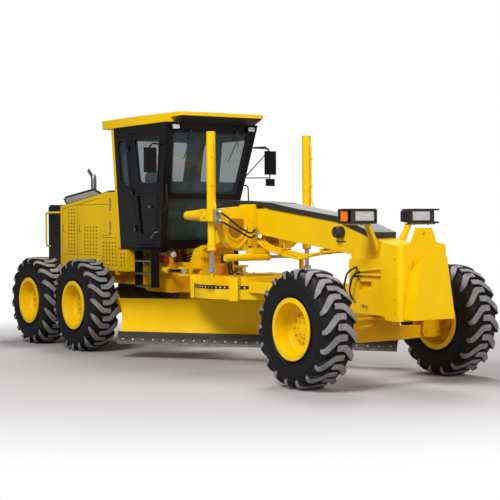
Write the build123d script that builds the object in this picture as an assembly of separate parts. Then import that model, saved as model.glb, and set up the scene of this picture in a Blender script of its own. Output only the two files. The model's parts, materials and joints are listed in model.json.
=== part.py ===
from build123d import *
import math
import os

os.makedirs("parts", exist_ok=True)

# Motor grader, six wheels, articulated frame, blade under the gooseneck.  Millimetres.
# X forward, Y left, Z up.  The origin is on the ground, at the middle of the length.
# d in "at(d)" is a distance ahead of the tandem's centre, and in "ahead(d)" of the front axle.

# ---- driving dimensions -------------------------------------------------------------
WHEELBASE = 6200          # tandem centre to front axle
REAR_OVERHANG = 1750      # tandem centre to the rear of the radiator box
FRONT_OVERHANG = 950      # front axle to the push block
TANDEM_SPREAD = 1540      # between the two rear wheels of one side
TRACK = 2160              # between tyre centres, left to right

TYRE_OD = 1350            # over the lugs
TYRE_WIDTH = 440
TYRE_SIDES = 12           # facets round one carcass, under the lugs
LUGS = 18                 # a side, the two rows half a pitch apart
LUG_HEIGHT = 34
LUG_HALF = 35             # half width of a lug's straight part
LUG_PAST = 70             # the straight part starts this far past the middle
LUG_BEND = 45             # and bends this far from the middle
LUG_SWEEP = 140           # the outer end lies this far round from the inner one
TREAD_HALF = 190          # half width of the tread
WALL_R = 560              # where the side wall is widest
BEAD_R = 317              # radius of the rim's seat
BEAD_HALF = 180           # half of the rim's width between flanges
FLANGE_H = 38
FLANGE_T = 20
RIM_T = 20                # rim barrel and disc thickness
HUB_R = 150

FIT = 0.3                 # gap between two pieces that bear on each other
GAP = 6                   # gap round a door or beside a moving piece

RAIL_Y = 330              # inner face of a frame rail
RAIL_T = 80
RAIL_Z0 = 960
RAIL_Z1 = 1200
RAIL_REAR = 1500          # rail end, behind the tandem's centre
FRONT_RAIL_Z0 = 880
FRONT_RAIL_Z1 = 1310
BULKHEAD = 2100           # front face of the rear frame's bulkhead

HITCH = BULKHEAD + 250    # articulation axis
HITCH_EYE_R = 110
HITCH_PIN_R = 45
LUG_T = 60
STEER_PIN_Y = 480         # articulation cylinders, either side
STEER_PIN = HITCH + 250   # front pins of the articulation cylinders
HITCH_FRONT = STEER_PIN + 120   # front face of the hitch block
STEER_PIN_Z = 1200
HITCH_RIBS = (960, 1060, 1390)  # undersides of the ribs round the hitch block

TOW_R = 21                # rear tow pin's hole
TOW_T = 25
TOW_GAP = 70
TOW_REACH = 110
TOW_Z = RAIL_Z0 + 20
TOW_HALF = 110
TOW_EYE_R = 55
TOW_PAD_T = 20

AXLE_R = 130
CASE_Y0 = 620             # tandem case, inner and outer face
CASE_Y1 = 820
CASE_HALF = 215           # half height of the case at its ends

HOOD_HALF = 600
HOOD_WALL = 20
HOOD_REAR = 1040          # behind the tandem's centre
HOOD_FRONT = 880
HOOD_Z0 = 1160
HOOD_Z_REAR = 2150
HOOD_Z_FRONT = 2340
HOOD_FLAT = 520           # where the sloping hood top becomes flat
DOOR_REAR = -380          # engine door, between these two places
DOOR_FRONT = 640
DOOR_Z0 = 1385
DOOR_Z1 = 2160
NOTCH_REAR = 380          # the door's lower front corner is left out for the lower grille
NOTCH_Z = 1690
SIDE_BOX_FRONT = 1160     # box that carries the lower grille on under the cab
SIDE_BOX_Y = 430
SIDE_BOX_Z1 = 1480
GRILLE_PITCH_X = 95
GRILLE_PITCH_Z = 55
GRILLE_HOLE = 50          # hole length along the machine, and its height
GRILLE_HOLE_Z = 30
GRILLES = [  # first hole along the machine, columns, lowest row, rows
    (-750, 3, 1430, 13), (-190, 5, 1425, 8), (430, 5, 1245, 7), (985, 2, 1245, 4),
]
LATCH_PLACES = (-910, -335)
LATCH_Z = 1790
RAIL_TUBE_R = 16          # hand rails
RADIATOR_REAR = 1570
RADIATOR_HALF = 560
RADIATOR_TOP = 2180
SLATS = 9                 # across the radiator's rear opening

ENGINE_HALF = 350
ENGINE_LENGTH = 1400
ENGINE_HEIGHT = 700

STACK_X = -800
STACK_Y = -120
STACK_R = 45
STACK_TOP = 2780

CAB_Z0 = 1500
CAB_Z1 = 3260
CAB_REAR0 = 905           # cab rear and front, at the floor and at the top
CAB_REAR1 = 1035
CAB_FRONT0 = 2110
CAB_FRONT1 = 2600
CAB_HALF0 = 586
CAB_HALF1 = 763
CAB_WALL = 50
CAB_FLOOR = 40
GLASS_T = 8
ROOF_T = 125
ROOF_REAR = 750
ROOF_FRONT = 2870
ROOF_HALF_REAR = 785
ROOF_HALF_FRONT = 680
CAB_DOOR_REAR = 1500
CAB_DOOR_Z0 = 1560
CAB_DOOR_Z1 = 3150
CAB_DOOR_PILLAR = 75      # front pillar, from the cab's front edge
CAB_LAMP_Z = 3195         # small lamps at the cab's top front corners
HINGE_OUT = 16            # hinge axis outside the panel
HINGE_R = 12
HINGE_PIN_R = 5

BEAM_HALF = 170           # half width of the gooseneck
HITCH_HALF = 260
BOX_HALF = 260            # front box, over the axle
NOSE_HALF = 340
NOSE_T = 20
NOSE_ROUND = 45           # the front box's upright front corners
BOX_Z0 = TYRE_OD / 2 + 125   # underside of the front box, over the lean bar

CIRCLE = STEER_PIN + 970  # turning axis of the circle
SADDLE = CIRCLE + 180     # lift saddle, along the machine
NECK_REAR = SADDLE - 500  # the gooseneck is level from here to the next place
NECK_FRONT = SADDLE + 400
NECK_BEND = WHEELBASE - 1350    # then it slopes down, steeper from here
SADDLE_LENGTH = 340
SADDLE_T = 60
LIFT_Y = 770
LIFT_TOP = 3050
LIFT_MOUTH = 1510
LIFT_TUBE_R = 50
LIFT_HEAD_R = 59
LIFT_ROD_R = 30
LIFT_ROD_TOP = 2500
GIMBAL_Z = 1970
LIFT_BALL_TOP = 1230
TRUNNION_R0 = 58          # tapered arm behind each lift cylinder's gimbal
TRUNNION_R1 = 84
TRUNNION_LENGTH = 600

BALL = WHEELBASE - 350    # drawbar's swivel
BALL_Z = 1020
SWIVEL_PIN_R = 30
CIRCLE_R = 780
CIRCLE_INNER_R = 640
CIRCLE_Z0 = 880
CIRCLE_Z1 = 1070
TEETH = 48                # inside the circle
TOOTH_HEIGHT = 28
TABLE_T = 100             # drawbar table over the circle
SHOE_TURNS = (38, 142, -38, -142)   # hangers that carry the circle, round its axis
SHIFT_X = CIRCLE + 465    # centre-shift cylinder, across the machine
SHIFT_Z = 1420
SHIFT_TIP_Y = 450

BLADE_ANGLE = -53.9       # blade as parked, from straight across
BLADE_LENGTH = 3965
BLADE_T = 20
EDGE_Z0 = 200
EDGE_Z1 = 350
BLADE_Z1 = 830
ARM_Y = 520               # circle's arms, from its centre
ARM_T = 60
PITCH_X = -300            # pitch axis behind the circle's centre, blade straight across
PITCH_Z = 420
PITCH_PIN_R = 30
RAIL_SIZE = 44            # slide rails on the blade's back
RAIL_HALF = 1350
RAIL_LOW_Z = 400
RAIL_HIGH_Z = 690
RAIL_X = -150

LEAN_Y = 640
LEAN_Z = TYRE_OD / 2 - 115
LEAN_PIN_R = 28
KING_Y = 880
KING_R = 34
LEAN_BAR_Z = TYRE_OD / 2 + 75

TANDEM_X = REAR_OVERHANG - (REAR_OVERHANG + WHEELBASE + FRONT_OVERHANG) / 2
FRONT_X = TANDEM_X + WHEELBASE
WHEEL_Z = TYRE_OD / 2
WHEEL_Y = TRACK / 2
TABLE_Z0 = CIRCLE_Z1 + FIT
TABLE_Z1 = TABLE_Z0 + TABLE_T


def at(d):
    return TANDEM_X + d


def ahead(d):
    return FRONT_X + d


# ---- shapes used again and again ----------------------------------------------------
def block(x0, x1, y0, y1, z0, z1):
    """A box between two corners."""
    return Pos((x0 + x1) / 2, (y0 + y1) / 2, (z0 + z1) / 2) * Box(x1 - x0, y1 - y0, z1 - z0)


def outline(points, radius=0):
    """A closed polygon, its points either way round, with every corner rounded by the radius."""
    turns = zip(points, points[1:] + points[:1])
    if sum(a[0] * b[1] - b[0] * a[1] for a, b in turns) < 0:
        points = points[::-1]
    face = Polygon(*points, align=None)
    return fillet(face.vertices(), radius) if radius else face


def side_plate(points, y0, y1, radius=0):
    """A plate that stands along the machine: its outline is in X and Z."""
    return extrude(Plane.XZ.offset(-y1) * outline(points, radius), amount=y1 - y0)


def deck_plate(points, z0, z1, radius=0):
    """A plate that lies flat: its outline is in X and Y."""
    return extrude(Plane.XY.offset(z0) * outline(points, radius), amount=z1 - z0)


def cross_plate(points, x0, x1, radius=0):
    """A plate that stands across the machine: its outline is in Y and Z."""
    return extrude(Plane.YZ.offset(x0) * outline(points, radius), amount=x1 - x0)


def bar(start, end, radius):
    """A round bar between two points."""
    start, end = Vector(*start), Vector(*end)
    centre = (Align.CENTER, Align.CENTER, Align.MIN)
    return Plane(origin=start, z_dir=end - start) * Cylinder(radius, (end - start).length, align=centre)


def across(x, z, y0, y1, radius):
    return bar((x, y0, z), (x, y1, z), radius)


def upright(x, y, z0, z1, radius):
    return bar((x, y, z0), (x, y, z1), radius)


def mirrored(shape):
    """The same shape on the other side of the machine."""
    return mirror(shape, about=Plane.XZ)


def both(shape):
    return shape + mirrored(shape)


def sided(shape, side):
    return shape if side > 0 else mirrored(shape)


def save(shape, node):
    shape.label = node
    export_step(shape, f"parts/{node}.step")


# ---- wheels -------------------------------------------------------------------------
def lug(sense):
    """One lug as if at the top of a tyre: straight across, then swept round to the shoulder."""
    outer_half = LUG_HALF + 10
    plan = [(-LUG_PAST, -LUG_HALF), (LUG_BEND + 15, -LUG_HALF), (TREAD_HALF, LUG_SWEEP - outer_half),
            (TREAD_HALF, LUG_SWEEP + outer_half), (LUG_BEND - 15, LUG_HALF)]
    middle = (LUG_SWEEP + outer_half - LUG_HALF) / 2
    reach = LUG_SWEEP + outer_half - middle
    top = math.sqrt((TYRE_OD / 2) ** 2 - reach ** 2)
    foot = TYRE_OD / 2 - 3 * LUG_HEIGHT
    flat = deck_plate([(-sense * (turn - middle), y) for y, turn in plan], foot, top)
    return Rot(Y=-sense * math.degrees(middle / (TYRE_OD / 2))) * flat


def tyre(x, y, sense):
    """A ring of flat facets through these rings (distance from the middle, radius), with its lugs."""
    half = TYRE_WIDTH / 2
    tread_r = TYRE_OD / 2 - LUG_HEIGHT
    flat = math.cos(math.pi / TYRE_SIDES)
    wall = [(BEAD_HALF, (BEAD_R + FLANGE_H + GAP) / flat), (half, WALL_R), (TREAD_HALF, tread_r)]
    rings = [(-d, r) for d, r in wall] + wall[::-1]
    sections = [Plane.XZ.offset(-d) * RegularPolygon(r, TYRE_SIDES) for d, r in rings]
    pitch = 360 / LUGS
    left = lug(sense)
    rows = [(left, 0.25), (mirrored(left), 0.75)]
    body = loft(sections, ruled=True) + [Rot(Y=pitch * (k + phase)) * one for one,
                                         phase in rows for k in range(LUGS)]
    seat = RegularPolygon((BEAD_R + FIT) / flat, TYRE_SIDES)
    body -= extrude(Plane.XZ * seat, amount=TYRE_WIDTH, both=True)
    return Pos(x, y, WHEEL_Z) * body


def rim(x, y, side):
    """Rim barrel, two flanges, and the disc that bolts to the hub."""
    lip = BEAD_HALF + FIT
    barrel_in = BEAD_R - RIM_T
    flange_r = BEAD_R + FLANGE_H
    profile = Polygon(
        (barrel_in, -lip - FLANGE_T), (flange_r, -lip - FLANGE_T), (flange_r, -lip), (BEAD_R, -lip),
        (BEAD_R, lip), (flange_r, lip), (flange_r, lip + FLANGE_T), (barrel_in, lip + FLANGE_T),
        (barrel_in, RIM_T / 2), (HUB_R, RIM_T / 2), (HUB_R * 0.8, RIM_T / 2 + 45), (0, RIM_T / 2 + 45),
        (0, -RIM_T / 2), (barrel_in, -RIM_T / 2), align=None)
    whole = revolve(Plane.XY * profile, axis=Axis.Y)
    return Pos(x, y, WHEEL_Z) * sided(whole, side)


# ---- rear frame ---------------------------------------------------------------------
def eye_plate(base_x, base_half, z0, z1, eye_x, eye_r):
    """A flat lug that narrows from its base to a round eye."""
    side = math.copysign(1, eye_x - base_x)
    points = [(base_x, -base_half), (eye_x + side * eye_r * 0.2, -eye_r * 0.98),
              (eye_x + side * eye_r * 0.2, eye_r * 0.98), (base_x, base_half)]
    return deck_plate(points, z0, z1) + upright(eye_x, 0, z0, z1, eye_r)


def rear_frame():
    rail = side_plate(
        [(at(-RAIL_REAR), RAIL_Z0), (at(1250), RAIL_Z0), (at(1450), FRONT_RAIL_Z0), (at(BULKHEAD),
                FRONT_RAIL_Z0),
         (at(BULKHEAD), FRONT_RAIL_Z1), (at(1380), FRONT_RAIL_Z1), (at(1180), RAIL_Z1),
         (at(-RAIL_REAR), RAIL_Z1)], RAIL_Y, RAIL_Y + RAIL_T)
    frame = both(rail)
    outer = RAIL_Y + RAIL_T
    for d0, d1 in [(-RAIL_REAR, -RAIL_REAR + 40), (-300, -220), (560, 640), (1400, 1440)]:
        frame += block(at(d0), at(d1), -RAIL_Y, RAIL_Y, RAIL_Z0 + 20, RAIL_Z1 - 20)
    frame += block(at(BULKHEAD - 40), at(BULKHEAD), -outer, outer, FRONT_RAIL_Z0, FRONT_RAIL_Z1)
    for d in (-980, -60, 800):
        frame += block(at(d), at(d + 60), -HOOD_HALF, HOOD_HALF, HOOD_Z0 - 60, HOOD_Z0)
    for z0 in (FRONT_RAIL_Z0, FRONT_RAIL_Z1 - LUG_T):
        frame += eye_plate(at(BULKHEAD - 20), 220, z0, z0 + LUG_T, at(HITCH), HITCH_EYE_R)
    frame += articulation_pins()
    post = block(at(CAB_REAR0 + 50), at(CAB_REAR0 + 170), RAIL_Y, outer, RAIL_Z1, CAB_Z0)
    post += block(at(CAB_FRONT0 - 170), at(CAB_FRONT0 - 50), RAIL_Y, outer, FRONT_RAIL_Z1, CAB_Z0)
    return frame + both(post)


def tow_hitch():
    """Two plates with the tow pin's holes, on a pad that bolts to the rear cross member."""
    face = at(-RAIL_REAR) - FIT
    pin = at(-RAIL_REAR) - TOW_REACH
    hitch = block(face - TOW_PAD_T, face, -TOW_HALF, TOW_HALF, TOW_Z, TOW_Z + TOW_GAP + 2 * TOW_T)
    for z in (TOW_Z, TOW_Z + TOW_GAP + TOW_T):
        hitch += eye_plate(face - TOW_PAD_T / 2, TOW_HALF, z, z + TOW_T, pin, TOW_EYE_R)
    return hitch - upright(pin, 0, TOW_Z - 1, TOW_Z + TOW_GAP + 2 * TOW_T + 1, TOW_R)


def articulation_pins():
    """Upper and lower pin, each held in a lug of the rear frame."""
    head = 18
    pins = upright(at(HITCH), 0, FRONT_RAIL_Z1 - LUG_T - GAP - LUG_T, FRONT_RAIL_Z1, HITCH_PIN_R)
    pins += upright(at(HITCH), 0, FRONT_RAIL_Z1, FRONT_RAIL_Z1 + head, HITCH_PIN_R * 1.5)
    low = upright(at(HITCH), 0, FRONT_RAIL_Z0, FRONT_RAIL_Z0 + LUG_T + GAP + LUG_T, HITCH_PIN_R)
    low += upright(at(HITCH), 0, FRONT_RAIL_Z0 - head, FRONT_RAIL_Z0, HITCH_PIN_R * 1.5)
    return pins + low


def rear_axle():
    case = across(TANDEM_X, WHEEL_Z, -CASE_Y0, CASE_Y0, AXLE_R)
    bulge = revolve(Plane.XY * Polygon((0, -230), (AXLE_R, -230), (205, -110), (205, 110), (AXLE_R, 230),
                                       (0, 230),
                                       align=None), axis=Axis.Y)
    case += Pos(TANDEM_X, 0, WHEEL_Z) * bulge
    return case + both(block(TANDEM_X - 130, TANDEM_X + 130, RAIL_Y, RAIL_Y + RAIL_T, WHEEL_Z, RAIL_Z0))


def tandem_case():
    half = TANDEM_SPREAD / 2
    end = half + CASE_HALF
    z = WHEEL_Z
    shape = [(-end, z - 130), (-half, z - CASE_HALF), (0, z - CASE_HALF - 45), (half, z - CASE_HALF),
             (end, z - 130),
             (end, z + 130), (half, z + CASE_HALF), (0, z + CASE_HALF + 45), (-half, z + CASE_HALF), (-end,
                     z + 130)]
    case = side_plate([(TANDEM_X + x, y) for x, y in shape], CASE_Y0, CASE_Y1, 80)
    disc = WHEEL_Y - RIM_T / 2 - FIT
    for sign in (-1, 1):
        case += across(TANDEM_X + sign * half, z, CASE_Y1, disc, HUB_R * 0.85)
        case += across(TANDEM_X + sign * half, z, CASE_Y1, CASE_Y1 + 60, HUB_R * 1.25)
    return case


# ---- engine bay ---------------------------------------------------------------------
def hood_section(inset, top_inset):
    """The hood's inside or outside, as a solid: its outline from the side, given its width."""
    rear, front = at(-HOOD_REAR + inset), at(HOOD_FRONT - inset)
    slope = (HOOD_Z_FRONT - HOOD_Z_REAR) / (HOOD_FLAT + HOOD_REAR)
    points = [(rear, HOOD_Z0 - inset), (front, HOOD_Z0 - inset), (front, HOOD_Z_FRONT - top_inset),
              (at(HOOD_FLAT), HOOD_Z_FRONT - top_inset), (rear, HOOD_Z_REAR - top_inset + slope * inset)]
    return side_plate(points, -HOOD_HALF + inset, HOOD_HALF - inset)


def engine_door_space(grow):
    rear, front, notch = at(DOOR_REAR) - grow, at(DOOR_FRONT) + grow, at(NOTCH_REAR) + grow
    low, high, step = DOOR_Z0 - grow, DOOR_Z1 + grow, NOTCH_Z - grow
    points = [(rear, low), (notch, low), (notch, step), (front, step), (front, high), (rear, high)]
    return side_plate(points, HOOD_HALF - HOOD_WALL * 2, HOOD_HALF + HOOD_WALL)


def grille_holes():
    """Rows of holes through the left side of the hood."""
    holes = []
    for first, columns, low, rows in GRILLES:
        for column in range(columns):
            for row in range(rows):
                x, z = at(first + column * GRILLE_PITCH_X), low + row * GRILLE_PITCH_Z
                holes.append(Pos(x, HOOD_HALF, z) * Box(GRILLE_HOLE, 3 * HOOD_WALL, GRILLE_HOLE_Z))
    return Compound(children=holes)


def latch(place):
    """A paddle latch on its raised plate."""
    x, y = at(place), HOOD_HALF
    return block(x - 35, x + 35, y - 2, y + 8, LATCH_Z - 45, LATCH_Z + 45) + block(
        x - 20, x + 20, y + 8, y + 16, LATCH_Z - 30, LATCH_Z + 10)


def side_box():
    """Thin box that carries the hood's side on under the cab."""
    rear, front = at(HOOD_FRONT - HOOD_WALL), at(SIDE_BOX_FRONT)
    t = HOOD_WALL
    outside = block(rear, front, SIDE_BOX_Y, HOOD_HALF, HOOD_Z0, SIDE_BOX_Z1)
    return outside - block(rear - 1, front - t, SIDE_BOX_Y + t, HOOD_HALF - t, HOOD_Z0 + t, SIDE_BOX_Z1 - t)


def panel_hinge(edge, height, forward, side_y, rise=0.0):
    """One hinge: the piece on the frame, with its pin, and the piece on the door."""
    lean = math.degrees(math.atan(rise))
    place = Pos(edge, side_y, height) * Rot(X=-lean) * Pos(0, HINGE_OUT, 0)
    knuckle = 50
    fixed = Pos(0, 0, -knuckle / 2) * Cylinder(HINGE_R, knuckle) + Pos(0, 0, knuckle / 2) * Cylinder(
        HINGE_PIN_R, knuckle)
    fixed += block(min(0, -forward * 60), max(0, -forward * 60), -HINGE_OUT, -HINGE_OUT + 8, -knuckle, -1)
    moving = Pos(0, 0, knuckle / 2 + 1) * Cylinder(HINGE_R, knuckle - 2)
    moving += block(min(0, forward * 60), max(0, forward * 60), -HINGE_OUT, -HINGE_OUT + 8, 2, knuckle)
    moving -= Pos(0, 0, knuckle / 2) * Cylinder(HINGE_PIN_R + FIT, knuckle + 10)
    return place * fixed, place * moving


def engine_door_hinges():
    return [panel_hinge(at(DOOR_FRONT) + GAP / 2, z, -1, HOOD_HALF) for z in (NOTCH_Z + 80, DOOR_Z1 - 90)]


def hood():
    shell = hood_section(0, 0) - hood_section(HOOD_WALL, HOOD_WALL)
    shell -= block(at(-HOOD_REAR + 60), at(HOOD_FRONT - 60), -HOOD_HALF + 60, HOOD_HALF - 60, HOOD_Z0 - 50,
                   HOOD_Z0 + 50)
    shell -= block(at(-HOOD_REAR - 10), at(HOOD_FRONT + 10), -RAIL_Y - RAIL_T, RAIL_Y + RAIL_T,
                   HOOD_Z0 - 10, RAIL_Z1)
    left = engine_door_space(GAP / 2)
    shell += both(side_box())
    shell -= both(left)
    shell -= grille_holes()
    shell -= mirrored(grille_holes())
    for fixed, _ in engine_door_hinges():
        shell += both(fixed)
    return shell + both(latch(LATCH_PLACES[0]))


def engine_door(side):
    door = engine_door_space(-GAP / 2) & (hood_section(0, 0) - hood_section(HOOD_WALL, HOOD_WALL))
    door -= grille_holes()
    for _, moving in engine_door_hinges():
        door += moving
    return sided(door + latch(LATCH_PLACES[1]), side)


def hood_cover():
    """The dark deck on the hood's top, a plate that follows its slope."""
    t = 28
    points = [(at(-HOOD_REAR + 30), HOOD_Z_REAR + 4), (at(HOOD_FLAT), HOOD_Z_FRONT), (at(HOOD_FRONT - 20),
            HOOD_Z_FRONT),
              (at(HOOD_FRONT - 20), HOOD_Z_FRONT + t), (at(HOOD_FLAT), HOOD_Z_FRONT + t),
              (at(-HOOD_REAR + 30), HOOD_Z_REAR + 4 + t)]
    plate = side_plate(points, -HOOD_HALF + 70, HOOD_HALF - 70)
    cover = plate - upright(at(STACK_X), STACK_Y, HOOD_Z_REAR - 100, STACK_TOP, STACK_R + 30)
    return cover + both(deck_rail()) - hood_section(0, 0)


def deck_rail():
    """Low guard rail along the deck's edge, rising a little above it."""
    y = HOOD_HALF - 100
    rail = FilletPolyline((at(-970), y, 2178), (at(-1150), y, 2285), (at(-60), y, 2400),
                          (at(230), y, 2318), radius=45)
    return sweep(Plane(origin=rail @ 0, z_dir=rail % 0) * RegularPolygon(RAIL_TUBE_R, 8), path=rail)


def engine_block():
    x0 = at(-HOOD_REAR + 220)
    return block(x0, x0 + ENGINE_LENGTH, -ENGINE_HALF, ENGINE_HALF, RAIL_Z1, RAIL_Z1 + ENGINE_HEIGHT)


def radiator_housing():
    rear, front = at(-RADIATOR_REAR), at(-HOOD_REAR)
    points = [(front, RAIL_Z1), (front, RADIATOR_TOP - 40), (rear + 60, RADIATOR_TOP),
              (rear, RADIATOR_TOP - 60),
              (rear, RAIL_Z1)]
    body = side_plate(points, -RADIATOR_HALF, RADIATOR_HALF)
    frame = block(rear - 10, rear + 70, -RADIATOR_HALF + 70, RADIATOR_HALF - 70, RAIL_Z1 + 90,
                  RADIATOR_TOP - 480)
    low, step = RAIL_Z1 + 90, (RADIATOR_TOP - 570 - RAIL_Z1) / SLATS
    half = RADIATOR_HALF - 69
    slats = [block(rear + 15, rear + 71, -half, half, z - 7, z + 7) for z in
             (low + (k + 0.5) * step for k in range(SLATS))]
    return body - frame + slats


def rear_box():
    """Air intake box behind the radiator's top."""
    x0, x1 = at(-REAR_OVERHANG), at(-RADIATOR_REAR)
    return block(x0, x1, -430, 430, RADIATOR_TOP - 400, RADIATOR_TOP - 60)


def rear_rails():
    """Hand rails on the radiator housing's rear corners."""
    r = RAIL_TUBE_R
    x0, x1 = at(-RADIATOR_REAR + 60), at(-HOOD_REAR - 60)
    y = RADIATOR_HALF + 70
    rail = FilletPolyline((x0, RADIATOR_HALF, 1500), (x0, y, 1500), (x0, y, 2050), (x1, y, 2050),
                          (x1, RADIATOR_HALF, 2050), radius=40)
    tube = sweep(Plane(origin=rail @ 0, z_dir=rail % 0) * RegularPolygon(r, 8), path=rail)
    return both(tube)


def exhaust_stack():
    foot = 2 * STACK_R
    base_z = HOOD_Z_REAR + (HOOD_Z_FRONT - HOOD_Z_REAR) * (STACK_X + HOOD_REAR) / (HOOD_FLAT + HOOD_REAR)
    x = at(STACK_X)
    top = STACK_TOP - 150
    path = FilletPolyline((x, STACK_Y, base_z - 40), (x, STACK_Y, top), (x - 130, STACK_Y, top + 100),
                          radius=90)
    pipe = sweep(Plane(origin=path @ 0, z_dir=path % 0) * Circle(STACK_R), path=path)
    pipe += upright(x, STACK_Y, base_z - 40, base_z + 60, STACK_R + 22)
    mouth = bar((x - 60, STACK_Y, top + 46), (x - 190, STACK_Y, top + 146), STACK_R - 5)
    return pipe - mouth - hood_section(0, 0)


# ---- cab ----------------------------------------------------------------------------
def cab_edge(z, low, high):
    return low + (high - low) * (z - CAB_Z0) / (CAB_Z1 - CAB_Z0)


def cab_body(inset, z0=CAB_Z0, z1=CAB_Z1):
    """The cab's form, wider and longer at the top, drawn in by the inset."""
    sections = []
    for z in (z0, z1):
        rear, front = at(cab_edge(z, CAB_REAR0, CAB_REAR1)) + inset, at(cab_edge(z, CAB_FRONT0,
                CAB_FRONT1)) - inset
        half = cab_edge(z, CAB_HALF0, CAB_HALF1) - inset
        sections.append(Plane.XY.offset(z) * outline([(rear, -half), (front, -half), (front, half),
                                                      (rear, half)]))
    return loft(sections, ruled=True)


def cab_wall(z0=CAB_Z0, z1=CAB_Z1):
    return cab_body(0, z0, z1) - cab_body(CAB_WALL, z0, z1)


def pane():
    middle = (CAB_WALL - GLASS_T) / 2
    return cab_body(middle) - cab_body(middle + GLASS_T)


def front_x(z):
    return at(cab_edge(z, CAB_FRONT0, CAB_FRONT1))


def door_outline(grow):
    z0, z1 = CAB_DOOR_Z0 - grow, CAB_DOOR_Z1 + grow
    rear = at(CAB_DOOR_REAR) - grow
    edge = grow - CAB_DOOR_PILLAR
    return [(rear, z0), (front_x(z0) + edge, z0), (front_x(z1) + edge, z1), (rear, z1)]


def side_space(points, radius=0):
    """What a window or door cuts from the left wall."""
    return side_plate(points, CAB_HALF0 - 2 * CAB_WALL, CAB_HALF1 + CAB_WALL, radius)


def front_space(z0, z1, trim):
    """What a window cuts from the front wall: it widens with the cab."""
    low, high = cab_edge(z0, CAB_HALF0, CAB_HALF1) - trim, cab_edge(z1, CAB_HALF0, CAB_HALF1) - trim
    return cross_plate([(-low, z0), (low, z0), (high, z1), (-high, z1)], at(CAB_FRONT0) - CAB_WALL * 2,
                       at(CAB_FRONT1) + CAB_WALL, 30)


def rear_space():
    return cross_plate([(-480, 2480), (480, 2480), (540, 3090), (-540, 3090)], at(CAB_REAR0) - CAB_WALL,
                       at(CAB_REAR1) + CAB_WALL * 2, 40)


def quarter_space():
    rear, front = at(1140), at(CAB_DOOR_REAR - 80)
    return side_space([(rear, 2470), (front, 2330), (front, 3080), (rear + 70, 3080), (rear + 20, 2960)])


def door_window():
    rear, z0, z1 = at(CAB_DOOR_REAR + 170), 2430, CAB_DOOR_Z1 - 80
    return side_space([(rear, z0 + 60), (rear + 80, z0), (front_x(z0) - 150, z0), (front_x(z1) - 150, z1),
                       (rear, z1)])


def door_low_window():
    rear, z0, z1 = at(CAB_DOOR_REAR + 90), 1700, 2270
    return side_space([(rear, z0), (front_x(z0) - 150, z0), (front_x(z1) - 150, z1), (rear, z1)])


def cab_hinges():
    rise = (CAB_HALF1 - CAB_HALF0) / (CAB_Z1 - CAB_Z0)
    return [panel_hinge(at(CAB_DOOR_REAR) - GAP / 2, z, 1, cab_edge(z, CAB_HALF0, CAB_HALF1), rise)
            for z in (1800, 2330, 2950)]


def cab_rear_slab():
    """The slab of the cab's rear wall, between its outer and inner rear faces."""
    t = CAB_WALL
    points = [(at(CAB_REAR0) - 1, CAB_Z0), (at(CAB_REAR0) + t, CAB_Z0), (at(CAB_REAR1) + t, CAB_Z1),
              (at(CAB_REAR1) - 1, CAB_Z1)]
    return side_plate(points, -CAB_HALF1, CAB_HALF1)


def cab_shell():
    shell = cab_body(0) - cab_body(CAB_WALL, CAB_Z0 + CAB_FLOOR, CAB_Z1 - CAB_FLOOR)
    shell -= cab_rear_slab()
    cuts = side_space(door_outline(GAP / 2)) + quarter_space()
    shell -= both(cuts)
    shell -= front_space(2290, 3130, 130)
    shell -= front_space(1640, 2200, 110)
    for fixed, _ in cab_hinges():
        shell += both(fixed)
    lamp = front_x(CAB_LAMP_Z)
    shell += both(block(lamp - 20, lamp + 55, 560, 690, CAB_LAMP_Z - 40, CAB_LAMP_Z + 40))
    return shell


def cab_rear_wall():
    return (cab_rear_slab() & cab_body(0)) - rear_space()


def cab_glass():
    glass = pane()
    fronts = [glass & front_space(2290, 3130, 130), glass & front_space(1640, 2200, 110),
              glass & rear_space()]
    sides = [glass & both(quarter_space())]
    return Compound(children=[s for part in fronts + sides for s in part.solids()])


def cab_door(side):
    door = cab_wall() & side_space(door_outline(-GAP / 2))
    door -= door_window() + door_low_window()
    for _, moving in cab_hinges():
        door += moving
    return sided(door, side)


def door_glass(side):
    glass = pane()
    return Compound(children=[sided(s, side) for w in (door_window(),
                                                       door_low_window()) for s in (glass & w).solids()])


def cab_roof():
    plan = [(at(ROOF_REAR), -ROOF_HALF_REAR), (at(1900), -ROOF_HALF_REAR), (at(ROOF_FRONT),
            -ROOF_HALF_FRONT),
            (at(ROOF_FRONT), ROOF_HALF_FRONT), (at(1900), ROOF_HALF_REAR), (at(ROOF_REAR), ROOF_HALF_REAR)]
    slab = deck_plate(plan, CAB_Z1, CAB_Z1 + ROOF_T, 40)
    under = side_plate([(at(1750), CAB_Z1 - 5), (at(ROOF_FRONT + 10), CAB_Z1 - 5), (at(ROOF_FRONT + 10),
            CAB_Z1 + 75),
                        (at(2650), CAB_Z1 + 65)], -900, 900)
    under -= block(at(0), front_x(CAB_Z1) + 20, -900, 900, CAB_Z1 - 10, CAB_Z1 + 200)
    return slab - under


def seat():
    x = at(1330)
    shape = block(x - 130, x + 170, -160, 160, CAB_Z0 + CAB_FLOOR, 1880)
    shape += block(x - 220, x + 270, -250, 250, 1880, 2000)
    back = side_plate([(x - 220, 2000), (x - 90, 2000), (x - 170, 2640), (x - 270, 2640)], -230, 230, 30)
    return shape + back


def console():
    x = at(1930)
    base = CAB_Z0 + CAB_FLOOR
    column = side_plate([(x - 50, base), (x + 70, base), (x + 30, 2180), (x - 50, 2180)], -90, 90)
    column += block(x - 110, x + 60, -210, 210, 2140, 2230)
    wheel = Pos(x - 90, 0, 2330) * Rot(Y=-25) * (Cylinder(205, 24) - Cylinder(178, 26))
    spoke = Pos(x - 90, 0, 2330) * Rot(Y=-25) * (Box(380, 30, 14) + Pos(0, 0, -70) * Cylinder(22, 140))
    return column + wheel + spoke


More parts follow.
